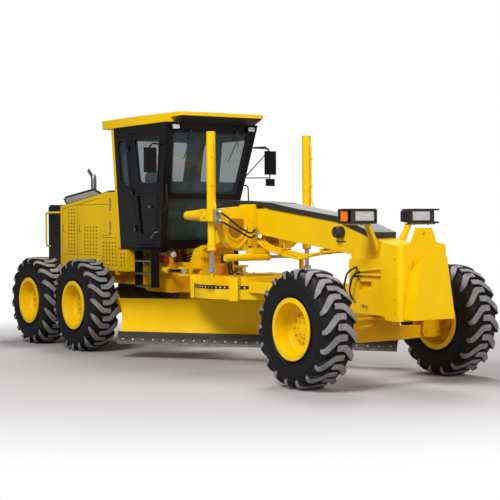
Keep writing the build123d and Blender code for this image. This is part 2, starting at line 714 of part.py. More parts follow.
# ---- fittings on the rear body ------------------------------------------------------
def ladder():
    x0, x1 = at(1640), at(2120)
    y0, y1 = CAB_HALF0, CAB_HALF0 + 150
    side = [(x0, 1500), (x0, 960), (x0 + 14, 960), (x0 + 14, 1500)]
    steps = side_plate(side, y0 + 20, y1) + side_plate([(x + (x1 - x0 - 14), z) for x, z in side], y0 + 20,
                                                       y1)
    for z in (960, 1140, 1320):
        steps += block(x0, x1, y0 + 20, y1, z, z + 22)
    steps += block(x0 - 60, x1, RAIL_Y + RAIL_T, y1, 1478, 1500)
    steps += block(x0 + 60, x0 + 140, RAIL_Y + RAIL_T, y0 + 30, 960, 982)
    return steps


def low_mirror():
    """Small wide-angle mirror under the left one."""
    x, y = at(2560), 1000
    return block(x - 10, x + 22, y - 70, y + 70, 2395, 2500) + upright(x - 4, y, 2490, 2570, 9)


def mirror_arm():
    x, y, z = at(2560), 1000, 2730
    top = FilletPolyline((front_x(2950) - 60, cab_edge(2950, CAB_HALF0, CAB_HALF1), 2950), (x - 20, y - 60,
            2960),
                         (x - 20, y, 2900), (x - 20, y, 2560), radius=25)
    arm = sweep(Plane(origin=top @ 0, z_dir=top % 0) * RegularPolygon(11, 8), path=top)
    glass = block(x - 10, x + 30, y - 90, y + 90, z - 170, z + 170)
    arm += block(x - 25, x + 10, y - 20, y + 20, z - 60, z + 60)
    return arm + glass - cab_body(0)


# ---- front frame --------------------------------------------------------------------
def front_frame():
    front = ahead(750)
    side = [
        (at(HITCH + 140), 900), (at(HITCH_FRONT), 900), (at(HITCH_FRONT), 1500), (at(NECK_REAR),
                1690), (at(SADDLE - 200), 1710),
        (at(SADDLE + 250), 1710), (at(NECK_BEND + 30), 1610), (ahead(-330), 1490), (ahead(-250),
                1300), (ahead(-250), BOX_Z0),
        (front, BOX_Z0), (front, 1560), (ahead(470), 1600), (ahead(80), 1680), (ahead(-290), 1790),
        (ahead(-560), 1870), (at(NECK_BEND - 30), 1970), (at(NECK_FRONT), 2050), (at(NECK_REAR),
                2040), (at(HITCH_FRONT - 20), 1560),
        (at(HITCH + 140), 1500)]
    beam = side_plate(side, -BEAM_HALF, BEAM_HALF)
    block_side = [(at(HITCH + 140), 900), (at(HITCH_FRONT), 900), (at(HITCH_FRONT), 1500),
                  (at(HITCH_FRONT + 150), 1560),
                  (at(HITCH_FRONT - 20), 1560), (at(HITCH + 140), 1500)]
    beam += side_plate(block_side, -HITCH_HALF, HITCH_HALF)
    for z in HITCH_RIBS:
        beam += block(at(HITCH + 140), at(HITCH_FRONT + 60), -HITCH_HALF - 25, HITCH_HALF + 25, z, z + 20)
    for sign in (-1, 1):
        y = sign * (BEAM_HALF - 40)
        eye = side_plate([(at(NECK_FRONT) - 130, 2040), (at(NECK_FRONT) - 20, 2040), (at(NECK_FRONT) - 45,
                2125),
                          (at(NECK_FRONT) - 105, 2125)], y - 12, y + 12)
        beam += eye - across(at(NECK_FRONT) - 75, 2092, y - 15, y + 15, 18)
    for z in (FRONT_RAIL_Z1 - LUG_T - GAP - LUG_T, FRONT_RAIL_Z0 + LUG_T + GAP):
        beam += eye_plate(at(HITCH + 160), 180, z, z + LUG_T, at(HITCH), HITCH_EYE_R)
    beam -= upright(at(HITCH), 0, 0, 2000, HITCH_PIN_R + FIT)
    ear = deck_plate([(at(HITCH + 200), 0), (at(STEER_PIN) - 70, STEER_PIN_Y - 120), (at(STEER_PIN) - 70,
            STEER_PIN_Y + 60),
                      (at(STEER_PIN) + 60, STEER_PIN_Y + 60), (at(HITCH_FRONT),
                                                               HITCH_HALF), (at(HITCH_FRONT), 0)],
                     STEER_PIN_Z + 35, STEER_PIN_Z + 65)
    beam += both(ear)
    beam += both(Pos(0, 0, -100) * ear)
    box = block(ahead(-250), ahead(420), -BOX_HALF, BOX_HALF, BOX_Z0, 1440)
    beam += box
    wide = side_plate([(ahead(420), BOX_Z0), (front, BOX_Z0), (front, 1560), (ahead(470), 1600),
                       (ahead(420), 1480)],
                      -NOSE_HALF, NOSE_HALF)
    beam += wide & nose_plan(0, NOSE_ROUND)
    beam -= both(block(ahead(-60), ahead(160), BOX_HALF - 60, BOX_HALF + 10, 1080, 1180))
    lug = BALL_Z - 115
    for z0 in (lug, BALL_Z + 75):
        beam += deck_plate([(ahead(-250), -90), (at(BALL) - 55, -60), (at(BALL) - 55, 60),
                            (ahead(-250), 90)], z0, z0 + 40)
    beam -= upright(at(BALL), 0, lug - 5, BALL_Z + 120, SWIVEL_PIN_R + FIT)
    return beam


def walkway_cover():
    t = 70
    spine = [(at(NECK_FRONT + 30), 2047), (at(NECK_BEND - 30), 1970), (ahead(-560), 1870),
             (ahead(-290), 1790), (ahead(80), 1680)]
    cover = side_plate(spine + [(x, z + t) for x, z in reversed(spine[1:])] + [(at(NECK_FRONT + 150),
            2047 + t)],
                       -BEAM_HALF - 15, BEAM_HALF + 15)
    return cover - side_plate([(at(NECK_FRONT), 2050), (at(NECK_BEND - 30), 1970), (ahead(-560), 1870),
                               (ahead(-290), 1790),
                               (ahead(80), 1680), (ahead(80), 1000), (at(NECK_FRONT), 1000)], -400, 400)


def saddle():
    x0, x1 = at(SADDLE) - SADDLE_LENGTH / 2, at(SADDLE) + SADDLE_LENGTH / 2
    outer = BEAM_HALF + SADDLE_T
    plate = side_plate([(x0, 1500), (x1, 1500), (x1 + 20, 1640), (x1 + 20, 2000), (x1 - 20, 2110),
                        (x0 + 20, 2110),
                        (x0 - 40, 2000), (x0 - 40, 1640)], BEAM_HALF, outer)
    arm = cross_plate([(outer - 10, 1830), (LIFT_Y - 110, 1890), (LIFT_Y - 110, 2050), (outer - 10, 2090)],
                      at(SADDLE) - 60, at(SADDLE) + 60)
    loop = side_plate([(x0 + 10, 1560), (x1 - 10, 1560), (x1 + 10, 1660), (x1 + 10, 1900), (x0 - 10, 1900),
                       (x0 - 10, 1660)], outer, outer + 26)
    loop -= side_plate([(x0 + 90, 1640), (x1 - 90, 1640), (x1 - 90, 1910), (x0 + 90, 1910)], outer - 1,
                       outer + 30)
    inner_loop = side_plate([(x0 + 120, 1670), (x1 - 120, 1670), (x1 - 120, 1900), (x0 + 120, 1900)],
                            outer, outer + 14)
    inner_loop -= side_plate([(x0 + 145, 1695), (x1 - 145, 1695), (x1 - 145, 1910), (x0 + 145, 1910)],
                             outer - 1,
                             outer + 20)
    frame = both(plate + arm + loop + inner_loop)
    bar_half = outer + 100
    lock = block(at(SADDLE) - 130, at(SADDLE) + 130, -bar_half, bar_half, 1500, 1590)
    for y in (-220, -110, 0, 110, 220):
        lock -= upright(at(SADDLE), y, 1490, 1600, 22)
    frame += lock
    frame += block(at(SADDLE) - 110, at(SADDLE) + 110, -outer, outer, 2052, 2110)
    frame -= side_plate([(at(NECK_REAR), 2040), (at(NECK_FRONT), 2050), (at(NECK_FRONT), 1900),
                         (at(NECK_REAR), 1900)], -BEAM_HALF, BEAM_HALF)
    frame += block(at(SADDLE) + 130, at(SHIFT_X) + 20, -outer - 90, -60, 1465, 1540)
    return frame


def lift_barrel():
    x, y = at(SADDLE), LIFT_Y
    tube = upright(x, y, LIFT_MOUTH, LIFT_TOP, LIFT_TUBE_R) + upright(x, y, GIMBAL_Z, LIFT_TOP - 20,
                                                                      LIFT_HEAD_R)
    tube += upright(x, y, LIFT_MOUTH, LIFT_MOUTH + 70, LIFT_HEAD_R)
    tube += block(x - 110, x + 110, y - 110, y + 110, GIMBAL_Z - 80, GIMBAL_Z + 80)
    trunnion = Cone(TRUNNION_R0, TRUNNION_R1, TRUNNION_LENGTH, align=(Align.CENTER, Align.CENTER,
                                                                      Align.MIN))
    tube += Plane(origin=(x - TRUNNION_LENGTH, y, GIMBAL_Z), z_dir=(1, 0, 0)) * trunnion
    tube -= upright(x, y, LIFT_MOUTH - 10, LIFT_TOP - 60, LIFT_ROD_R + FIT)
    return tube


def lift_rod(side):
    rod = upright(at(SADDLE), LIFT_Y, LIFT_BALL_TOP + FIT + 30, LIFT_ROD_TOP, LIFT_ROD_R)
    cap = upright(at(SADDLE), LIFT_Y, LIFT_BALL_TOP + FIT, LIFT_BALL_TOP + FIT + 45, 56)
    return sided(rod + cap, side)


def shift_barrel():
    y0 = SHIFT_TIP_Y - 1200
    x = at(SHIFT_X)
    tube = across(x, SHIFT_Z, y0, -60, 45)
    return tube - across(x, SHIFT_Z, y0 + 50, 0, 22 + FIT)


def shift_rod():
    x = at(SHIFT_X)
    tip = SHIFT_TIP_Y - FIT
    rod = across(x, SHIFT_Z, SHIFT_TIP_Y - 850, tip - 34, 22)
    return rod + Pos(x, tip - 34, SHIFT_Z) * Sphere(34)


def nose_plan(grow, corner):
    """The nose from above, its two front corners rounded, as tall as the machine."""
    rear, front, half = ahead(300), ahead(750) + grow, NOSE_HALF + grow
    square = block(rear, front - corner, -half, half, 0, 2000) + block(rear, front, corner - half,
            half - corner, 0, 2000)
    return square + both(upright(front - corner, half - corner, 0, 2000, corner))


def nose_shell():
    side = [(ahead(520), BOX_Z0 - 40), (ahead(750) + NOSE_T, BOX_Z0 - 40), (ahead(750) + NOSE_T, 1600),
            (ahead(470), 1640),
            (ahead(440), 1500)]
    plate = side_plate(side, NOSE_HALF, NOSE_HALF + NOSE_T)
    top = side_plate([(ahead(470), 1600), (ahead(750), 1560), (ahead(750), 1585), (ahead(470), 1625)],
                     -NOSE_HALF, NOSE_HALF)
    front = ahead(750)
    face = cross_plate([(-NOSE_HALF - NOSE_T, BOX_Z0 - 40), (NOSE_HALF + NOSE_T, BOX_Z0 - 40),
                        (NOSE_HALF + NOSE_T, 1600),
                        (190, 1640), (120, 1800), (-120, 1800), (-190, 1640), (-NOSE_HALF - NOSE_T, 1600)],
                       front, front + NOSE_T)
    shell = (both(plate) + face + top) & nose_plan(NOSE_T, NOSE_ROUND + NOSE_T - 8)
    shell -= bar((front - 1, 0, 1735), (front + NOSE_T + 1, 0, 1735), 32)
    push = cross_plate([(-300, BOX_Z0 - 20), (300, BOX_Z0 - 20), (180, 1480), (-180, 1480)],
                       front + NOSE_T, ahead(FRONT_OVERHANG))
    taper = side_plate([(front, 1300), (ahead(FRONT_OVERHANG) + 1, 1480), (ahead(FRONT_OVERHANG) + 1,
            1600), (front, 1600)], -500, 500)
    return shell + (push - taper)


def headlamps():
    x = ahead(160)
    post = cross_plate([(BEAM_HALF, 1490), (BEAM_HALF, 1620), (300, 1850), (700, 1850), (700, 1835),
                        (330, 1835)],
                       x - 50, x + 30)
    lamp = side_plate([(x - 90, 1870), (x + 90, 1850), (x + 90, 2020), (x - 50, 2020), (x - 90, 1980)],
                      260, 600, 15)
    lamp += side_plate([(x - 60, 1850), (x + 90, 1850), (x + 90, 2020), (x - 60, 2020)], 600, 700, 20)
    lamp -= block(x + 82, x + 95, 285, 570, 1880, 1995)
    lamp -= block(x - 30, x + 95, 630, 720, 1872, 2000)
    work = bar((ahead(-500), BEAM_HALF, 1750), (ahead(-500), BEAM_HALF + 90, 1750), 70)
    return both(post + lamp + work)


def front_axle():
    z = LEAN_Z
    points = [(-LEAN_Y, z - 70), (-300, z - 85), (300, z - 85), (LEAN_Y, z - 70), (LEAN_Y, z + 70),
              (300, z + 75),
              (150, z + 110), (130, BOX_Z0), (-130, BOX_Z0), (-150, z + 110), (-300, z + 75), (-LEAN_Y,
                      z + 70)]
    beam = cross_plate(points, FRONT_X - 55, FRONT_X + 55)
    boss = both(bar((FRONT_X - 55, LEAN_Y, z), (FRONT_X + 55, LEAN_Y, z), 70))
    pin = both(bar((FRONT_X - 110, LEAN_Y, z), (FRONT_X + 110, LEAN_Y, z), LEAN_PIN_R))
    return beam + boss + pin


# ---- front wheel carriers -----------------------------------------------------------
def lean_carrier(side):
    x, z = FRONT_X, WHEEL_Z
    ear = cross_plate([(LEAN_Y - 30, LEAN_Z - 65), (LEAN_Y + 40, LEAN_Z - 70), (KING_Y - 110, z - 190),
                       (KING_Y - 110, z + 190),
                       (LEAN_Y + 40, LEAN_BAR_Z + 50), (LEAN_Y - 20, LEAN_BAR_Z + 50), (LEAN_Y - 60,
                               LEAN_Z)], x + 62, x + 100)
    ear -= bar((x + 50, LEAN_Y, LEAN_Z), (x + 120, LEAN_Y, LEAN_Z), LEAN_PIN_R + FIT)
    ears = ear + mirror(ear, about=Plane.YZ.offset(x))
    web = block(x - 100, x + 100, KING_Y - 120, KING_Y - 80, z - 190, z + 190)
    arms = block(x - 60, x + 60, KING_Y - 90, KING_Y, z + 135, z + 185) + upright(x, KING_Y, z + 135,
            z + 185, 60)
    arms += block(x - 60, x + 60, KING_Y - 90, KING_Y, z - 185, z - 135) + upright(x, KING_Y, z - 185,
            z - 135, 60)
    arms -= upright(x, KING_Y, z - 200, z + 200, KING_R + FIT)
    return sided(ears + web + arms, side)


def lean_bar():
    """Ties the tops of the two carriers, so that both front wheels lean together."""
    r, x = 24, FRONT_X + 100 + FIT
    eye = bar((x, LEAN_Y, LEAN_BAR_Z), (x + 50, LEAN_Y, LEAN_BAR_Z), 38)
    return across(x + 25, LEAN_BAR_Z, -LEAN_Y, LEAN_Y, r) + both(eye)


def knuckle(side):
    x, z = FRONT_X, WHEEL_Z
    body = upright(x, KING_Y, z - 190, z + 190, KING_R) + upright(x, KING_Y, z - 135 + GAP, z + 135 - GAP,
                                                                  58)
    body += across(x, z, KING_Y, WHEEL_Y - RIM_T / 2 - FIT, 52)
    body += across(x, z, WHEEL_Y - RIM_T / 2 - 70, WHEEL_Y - RIM_T / 2 - FIT, HUB_R * 0.85)
    return sided(body, side)


# ---- drawbar, circle and blade ------------------------------------------------------
def swivel():
    x = at(BALL)
    body = upright(x, 0, BALL_Z - 115, BALL_Z + 115, SWIVEL_PIN_R) + Pos(x, 0, BALL_Z) * Sphere(66)
    return body + across(x, BALL_Z, -125, 125, SWIVEL_PIN_R)


def drawbar():
    x = at(BALL)
    cx = at(CIRCLE)
    ear = side_plate([(x + 50, BALL_Z - 45), (x + 50, BALL_Z + 45), (x - 150, BALL_Z + 70),
                      (x - 150, BALL_Z - 60)], 72, 125, 12)
    leg = deck_plate([(x - 60, 72), (x - 60, 125), (cx + 480, 520), (cx + 480, 360)], BALL_Z - 50,
                     TABLE_Z0 + 40)
    bar_two = both(ear + leg)
    bar_two += block(x - 330, x - 230, -150, 150, BALL_Z - 50, TABLE_Z0 + 40)
    table = deck_plate([(cx - 560, -330), (cx - 330, -600), (cx + 380, -600), (cx + 560, -500),
                        (cx + 560, 500),
                        (cx + 380, 600), (cx - 330, 600), (cx - 560, 330)], TABLE_Z0, TABLE_Z1)
    table -= upright(cx, 0, TABLE_Z0 - 1, TABLE_Z1 + 1, 300)
    arm = block(at(SADDLE) - 70, at(SADDLE) + 70, 590, LIFT_Y + 80, TABLE_Z0, TABLE_Z1)
    ball = Pos(at(SADDLE), LIFT_Y, LIFT_BALL_TOP - 30) * Sphere(30) + upright(at(SADDLE), LIFT_Y, TABLE_Z1,
            LIFT_BALL_TOP - 25, 20)
    table += both(arm + ball)
    bar_two -= upright(cx, 0, 800, TABLE_Z0, CIRCLE_R + GAP)
    shoe = block(cx - 60, cx + 60, CIRCLE_R + 6, CIRCLE_R + 60, 866, TABLE_Z1)
    hanger = shoe + block(cx - 60, cx + 60, 480, CIRCLE_R + 60, TABLE_Z0, TABLE_Z1)
    for turn in SHOE_TURNS:
        table += Pos(cx, 0, 0) * Rot(Z=turn) * Pos(-cx, 0, 0) * hanger
    post = block(at(SHIFT_X) - 35, at(SHIFT_X) + 35, SHIFT_TIP_Y, SHIFT_TIP_Y + 30, TABLE_Z1, SHIFT_Z + 40)
    bar_two -= upright(at(BALL), 0, BALL_Z - 200, BALL_Z - 100, 100)
    whole = bar_two + table + post
    return whole - across(x, BALL_Z, -200, 200, SWIVEL_PIN_R + FIT)


def circle_drive():
    x, y = at(3300), -300
    body = block(x - 100, x + 110, y - 100, y + 100, TABLE_Z1, TABLE_Z1 + 120)
    body += upright(x + 40, y, TABLE_Z1 + 120, TABLE_Z1 + 270, 62)
    return body


def tooth_space():
    """The open middle of the circle, with the gaps between its inner teeth."""
    tips = CIRCLE_INNER_R - TOOTH_HEIGHT
    corners = [(-0.36, CIRCLE_INNER_R), (-0.14, tips), (0.14, tips), (0.36, CIRCLE_INNER_R)]
    turns = [((k + share) * 2 * math.pi / TEETH, r) for k in range(TEETH) for share, r in corners]
    return deck_plate([(r * math.cos(a), r * math.sin(a)) for a, r in turns], CIRCLE_Z0 - 1, CIRCLE_Z1 + 1)


def circle():
    cx = at(CIRCLE)
    ring = upright(cx, 0, CIRCLE_Z0, CIRCLE_Z1, CIRCLE_R) - Pos(cx, 0, 0) * tooth_space()
    arm = side_plate([(cx - 548, CIRCLE_Z0 + 20), (cx - 380, CIRCLE_Z0 + 20), (cx + PITCH_X + 40,
            PITCH_Z + 50),
                      (cx + PITCH_X, PITCH_Z - 60), (cx + PITCH_X - 60, PITCH_Z - 30), (cx + PITCH_X - 160,
                              PITCH_Z + 160)],
                     ARM_Y - ARM_T / 2, ARM_Y + ARM_T / 2)
    arm += across(cx + PITCH_X, PITCH_Z, ARM_Y - ARM_T / 2, ARM_Y + ARM_T / 2, 70)
    arms = both(arm) - across(cx + PITCH_X, PITCH_Z, -ARM_Y * 2, ARM_Y * 2, PITCH_PIN_R + FIT)
    tie = block(cx - 560, cx - 500, -ARM_Y, ARM_Y, CIRCLE_Z0 - 120, CIRCLE_Z0)
    return turned(ring + arms + tie)


def turned(shape):
    """Turned about the circle's axis, from straight across to the parked angle."""
    cx = at(CIRCLE)
    return Pos(cx, 0, 0) * Rot(Z=BLADE_ANGLE) * Pos(-cx, 0, 0) * shape


def blade_back(offset):
    """Arc of the blade's section, from bottom to top: its face, or its back by the offset."""
    cx = at(CIRCLE)
    return [(cx + 40 - offset, EDGE_Z1 - 60), (cx - 85 - offset, 0.5 * (EDGE_Z1 - 60 + BLADE_Z1)),
            (cx + 45 - offset, BLADE_Z1)]


def moldboard():
    face, back = blade_back(0), blade_back(BLADE_T)
    edges = [ThreePointArc(*face), Line(face[2], back[2]), ThreePointArc(*back[::-1]),
             Line(back[0], face[0])]
    half = BLADE_LENGTH / 2
    section = make_face(Wire(edges))
    board = extrude(Plane.XZ.offset(-half) * section, amount=2 * half)
    cx = at(CIRCLE)
    for z in (RAIL_LOW_Z, RAIL_HIGH_Z):
        board += block(cx + RAIL_X, cx - 40, -RAIL_HALF, RAIL_HALF, z - 8, z + 8) - front_of_board()
        board += block(cx + RAIL_X - RAIL_SIZE, cx + RAIL_X, -RAIL_HALF, RAIL_HALF, z - RAIL_SIZE / 2,
                       z + RAIL_SIZE / 2)
    return turned(board)


def front_of_board():
    """Everything ahead of the blade's back, so that the rails end on it."""
    back = blade_back(BLADE_T)
    cx = at(CIRCLE)
    far = cx + 400
    edges = [ThreePointArc(*back), Line(back[2], (far, BLADE_Z1)), Line((far, BLADE_Z1), (far, back[0][1])),
             Line((far, back[0][1]), back[0])]
    return extrude(Plane.XZ.offset(-3000) * make_face(Wire(edges)), amount=6000)


def cutting_edge():
    cx = at(CIRCLE)
    half = BLADE_LENGTH / 2
    face = blade_back(0)
    lean = side_plate([(cx + 40, EDGE_Z1 - 60), (cx + 62, EDGE_Z1 - 60), (cx + 92, EDGE_Z0),
                       (cx + 72, EDGE_Z0)], -half, half)
    strip = side_plate([(cx + 40, EDGE_Z1 - 60), (cx + 62, EDGE_Z1 - 60), (cx + 50, EDGE_Z1 + 20),
                        (cx + 30, EDGE_Z1 + 20)], -half, half)
    board_front = front_of_board_face()
    edge = lean + (strip & board_front)
    return turned(edge)


def front_of_board_face():
    face = blade_back(0)
    far = at(CIRCLE) + 400
    edges = [ThreePointArc(*face), Line(face[2], (far, BLADE_Z1)), Line((far, BLADE_Z1), (far, face[0][1])),
             Line((far, face[0][1]), face[0])]
    return extrude(Plane.XZ.offset(-3000) * make_face(Wire(edges)), amount=6000)


def blade_carrier():
    """Two hooked plates on a tube: they turn on the circle's arms and hold the blade's rails."""
    cx = at(CIRCLE)
    x, z = cx + PITCH_X, PITCH_Z
    inner = ARM_Y - ARM_T / 2 - GAP
    rail_x = cx + RAIL_X
    plate = side_plate([(x - 50, z - 60), (rail_x + 4, RAIL_LOW_Z - 50), (rail_x + 4, RAIL_HIGH_Z + 50),
                        (x - 40, RAIL_HIGH_Z + 50),
                        (x - 60, z)], inner - 60, inner)
    for rail_z in (RAIL_LOW_Z, RAIL_HIGH_Z):
        play = RAIL_SIZE / 2 + FIT
        plate -= block(rail_x - RAIL_SIZE - FIT, rail_x + FIT, 0, ARM_Y, rail_z - play, rail_z + play)
        plate -= block(rail_x - 1, rail_x + 10, 0, ARM_Y, rail_z - 12, rail_z + 12)
    frame = both(plate)
    frame += across(x, z, -inner, inner, 46) - block(rail_x - RAIL_SIZE - 2, rail_x + 50, -inner, inner, 0,
                                                     2000)
    pin = across(x, z, inner - 5, ARM_Y + ARM_T / 2 + 20, PITCH_PIN_R)
    return turned(frame + both(pin))


def artic_barrel():
    tube = bar((at(1300), STEER_PIN_Y, STEER_PIN_Z), (at(2150), STEER_PIN_Y, STEER_PIN_Z), 45)
    tube -= bar((at(1360), STEER_PIN_Y, STEER_PIN_Z), (at(2160), STEER_PIN_Y, STEER_PIN_Z), 25 + FIT)
    tube += block(at(1300), at(1360), RAIL_Y + RAIL_T, STEER_PIN_Y, STEER_PIN_Z - 50, STEER_PIN_Z + 50)
    return tube


def artic_rod(side):
    rod = bar((at(1640), STEER_PIN_Y, STEER_PIN_Z), (at(STEER_PIN), STEER_PIN_Y, STEER_PIN_Z), 25)
    rod += upright(at(STEER_PIN), STEER_PIN_Y, STEER_PIN_Z - 35 + FIT, STEER_PIN_Z + 35 - FIT, 48)
    return sided(rod, side)


# ---- the nodes ----------------------------------------------------------------------
AXLES = [  # place word, place along the machine, which way the lugs point
    ("rear", TANDEM_X - TANDEM_SPREAD / 2, 1), ("middle", TANDEM_X + TANDEM_SPREAD / 2, 1), ("front",
            FRONT_X, -1),
]
for place, x, sense in AXLES:
    for word, side in (("left", 1), ("right", -1)):
        save(tyre(x, side * WHEEL_Y, sense), f"tyre_{place}_{word}")
        save(rim(x, side * WHEEL_Y, side), f"rim_{place}_{word}")

for word, side in (("left", 1), ("right", -1)):
    save(engine_door(side), f"engine_door_{word}")
    save(cab_door(side), f"cab_door_{word}")
    save(door_glass(side), f"door_glass_{word}")
    save(lift_rod(side), f"lift_rod_{word}")
    save(artic_rod(side), f"artic_rod_{word}")
    save(lean_carrier(side), f"lean_carrier_{word}")
    save(knuckle(side), f"knuckle_{word}")

save(rear_frame(), "rear_frame")
save(tow_hitch(), "tow_hitch")
save(rear_axle() + both(tandem_case()), "tandem_axle")
save(both(artic_barrel()), "artic_barrels")
save(engine_block(), "engine_block")
save(hood(), "hood")
save(hood_cover(), "hood_cover")
save(radiator_housing() + rear_box(), "radiator_housing")
save(rear_rails(), "rear_rails")
save(exhaust_stack(), "exhaust_stack")
save(cab_shell(), "cab_shell")
save(cab_rear_wall(), "cab_rear_wall")
save(cab_glass(), "cab_glass")
save(cab_roof(), "cab_roof")
save(seat(), "seat")
save(console(), "console")
save(both(ladder()), "ladders")
save(both(mirror_arm()) + low_mirror(), "mirrors")
save(front_frame(), "front_frame")
save(walkway_cover(), "walkway_cover")
save(saddle(), "saddle")
save(both(lift_barrel()) + shift_barrel(), "front_barrels")
save(shift_rod(), "shift_rod")
save(nose_shell(), "nose_shell")
save(headlamps(), "headlamps")
save(front_axle(), "front_axle")
save(lean_bar(), "lean_bar")
save(swivel(), "swivel")
save(drawbar(), "drawbar")
save(circle_drive(), "circle_drive")
save(circle(), "circle")
save(blade_carrier(), "blade_carrier")
save(moldboard(), "moldboard")
save(cutting_edge(), "cutting_edge")
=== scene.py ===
# %% [markdown]
# # Dressing a motor grader
# A motor grader is a long road-building machine: an engine and cab at the back, a high bent beam
# in front, and a blade hung between the wheels.  The rigid frame comes from a CAD pack, and this
# lesson gives it tyres with real tread, paint, glass, grilles, lamps and hoses.  Everything is in
# metres: X points forward, Y to the operator's left, Z up, and the ground is at zero.

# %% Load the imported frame
import json
import math

import bpy
import bmesh
import numpy as np
from mathutils import Matrix, Vector


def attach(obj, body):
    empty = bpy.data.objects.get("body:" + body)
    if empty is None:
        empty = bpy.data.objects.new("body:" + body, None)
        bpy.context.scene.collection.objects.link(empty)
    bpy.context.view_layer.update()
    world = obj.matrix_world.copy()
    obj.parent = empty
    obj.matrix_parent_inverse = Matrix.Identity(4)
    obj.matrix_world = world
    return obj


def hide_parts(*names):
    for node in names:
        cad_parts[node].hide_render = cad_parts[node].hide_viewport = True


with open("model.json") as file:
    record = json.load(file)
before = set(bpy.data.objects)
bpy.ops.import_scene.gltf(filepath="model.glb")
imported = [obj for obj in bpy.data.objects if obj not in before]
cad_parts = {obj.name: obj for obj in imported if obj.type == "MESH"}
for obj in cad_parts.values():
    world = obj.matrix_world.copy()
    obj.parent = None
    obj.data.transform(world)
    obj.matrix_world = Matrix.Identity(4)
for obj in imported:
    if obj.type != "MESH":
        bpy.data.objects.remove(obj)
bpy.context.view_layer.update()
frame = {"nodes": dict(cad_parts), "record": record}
nodes = frame["nodes"]
print("nodes in the frame:", len(nodes))

# %% [markdown]
# ## The camera
# A long lens stands far off to the machine's right front.  Its three angles are turned into the
# camera's own axes: where it looks, what is right and what is up.  Working them out from angles
# keeps the view easy to adjust, which a typed matrix wouldn't.

# %% Place the camera
VIEW_FROM = Vector((15.008, -9.673, 1.880))
VIEW_TURN, VIEW_DIP, VIEW_ROLL = (math.radians(a) for a in (55.749, 1.264, -0.3697))
LENS_MM = 91.97

look = Vector((-math.sin(VIEW_TURN) * math.cos(VIEW_DIP), math.cos(VIEW_TURN) * math.cos(VIEW_DIP),
               -math.sin(VIEW_DIP)))
level = Vector((math.cos(VIEW_TURN), math.sin(VIEW_TURN), 0))
above = level.cross(look)
right = math.cos(VIEW_ROLL) * level + math.sin(VIEW_ROLL) * above
up = -math.sin(VIEW_ROLL) * level + math.cos(VIEW_ROLL) * above
camera = bpy.data.objects.new("camera", bpy.data.cameras.new("camera"))
camera.data.lens = LENS_MM
camera.data.sensor_width = 36
camera.data.clip_end = 200
camera.matrix_world = Matrix.Translation(VIEW_FROM) @ Matrix((right, up, -look)).transposed().to_4x4()
bpy.context.scene.collection.objects.link(camera)
bpy.context.scene.camera = camera
print("camera looks along", [round(c, 3) for c in look])

# %% [markdown]
# ## Writing materials as sums
# Blender's materials are nodes joined by links.  Long chains of Math nodes are hard to read, so a
# small class wraps one socket and lets ordinary arithmetic add the nodes.  Every other node comes
# from one method that takes its type, its settings and what goes into its sockets.

# %% One socket that can be added and multiplied
class Wire:
    """An output socket.  Arithmetic on it adds Math nodes to the same material."""

    def __init__(self, paint, socket):
        self.paint, self.socket = paint, socket

    def sum(self, operation, *values):
        return self.paint.node("ShaderNodeMath", {"operation": operation}, dict(enumerate(values)))

    def __add__(self, other):
        return self.sum("ADD", self, other)

    def __mul__(self, other):
        return self.sum("MULTIPLY", self, other)

    def __sub__(self, other):
        return self.sum("SUBTRACT", self, other)

    def __rsub__(self, other):
        return self.sum("SUBTRACT", other, self)

    def __pow__(self, other):
        return self.sum("POWER", self, other)

    def __gt__(self, other):
        return self.sum("GREATER_THAN", self, other)

    def clamp(self):
        return self.sum("MINIMUM", self.sum("MAXIMUM", self, 0.0), 1.0)

    __radd__ = __add__


class Paint:
    """One material, built node by node around a Principled shader."""

    def __init__(self, name):
        self.material = bpy.data.materials.new(name)
        self.material.use_nodes = True
        self.nodes, self.links = self.material.node_tree.nodes, self.material.node_tree.links
        self.nodes.clear()

    def fill(self, socket, value):
        if isinstance(value, Wire):
            self.links.new(value.socket, socket)
        elif isinstance(value, tuple) and socket.type == "RGBA":
            socket.default_value = (*value, 1.0)[:4]
        else:
            socket.default_value = value

    def node(self, kind, settings=None, sockets=None, output=0):
        made = self.nodes.new(kind)
        for name, value in (settings or {}).items():
            setattr(made, name, value)
        for name, value in (sockets or {}).items():
            self.fill(made.inputs[name], value)
        return Wire(self, made.outputs[output]) if made.outputs else made

    def where(self):
        return self.node("ShaderNodeTexCoord", output="Object")

    def noise(self, scale, detail, vector=None):
        return self.node("ShaderNodeTexNoise", sockets={
            "Vector": vector or self.where(), "Scale": scale, "Detail": detail, "Roughness": 0.55})

    def stretched(self, scale):
        """The place, measured in stretched units, for streaks and scratches."""
        return self.node("ShaderNodeMapping", sockets={"Vector": self.where(), "Scale": Vector(scale)})

    def wave(self, direction, scale):
        return self.node("ShaderNodeTexWave", {"bands_direction": direction},
                         {"Vector": self.where(), "Scale": scale})

    def span(self, value, low, high, to_low=0.0, to_high=1.0):
        """The value's stretch from low to high, spread from to_low to to_high and held there."""
        return self.node("ShaderNodeMapRange", sockets={0: value, 1: low, 2: high, 3: to_low, 4: to_high})

    def mix(self, share, first, second):
        """A colour between two colours."""
        return self.node("ShaderNodeMix", {"data_type": "RGBA"}, {0: share, 6: first, 7: second}, output=2)

    def bump(self, height, strength, distance, normal=None):
        sockets = {"Height": height, "Strength": strength, "Distance": distance}
        if normal is not None:
            sockets["Normal"] = normal
        return self.node("ShaderNodeBump", sockets=sockets)

    def soft_edges(self, radius):
        """A normal that rounds the sharp edges of a plate by a few millimetres."""
        return self.node("ShaderNodeBevel", {"samples": 4}, {"Radius": radius})

    def shade(self, **sockets):
        """The Principled shader, and the output."""
        named = {key.replace("_", " "): value for key, value in sockets.items()}
        shader = self.node("ShaderNodeBsdfPrincipled", sockets=named)
        self.node("ShaderNodeOutputMaterial", sockets={"Surface": shader})
        return self.material
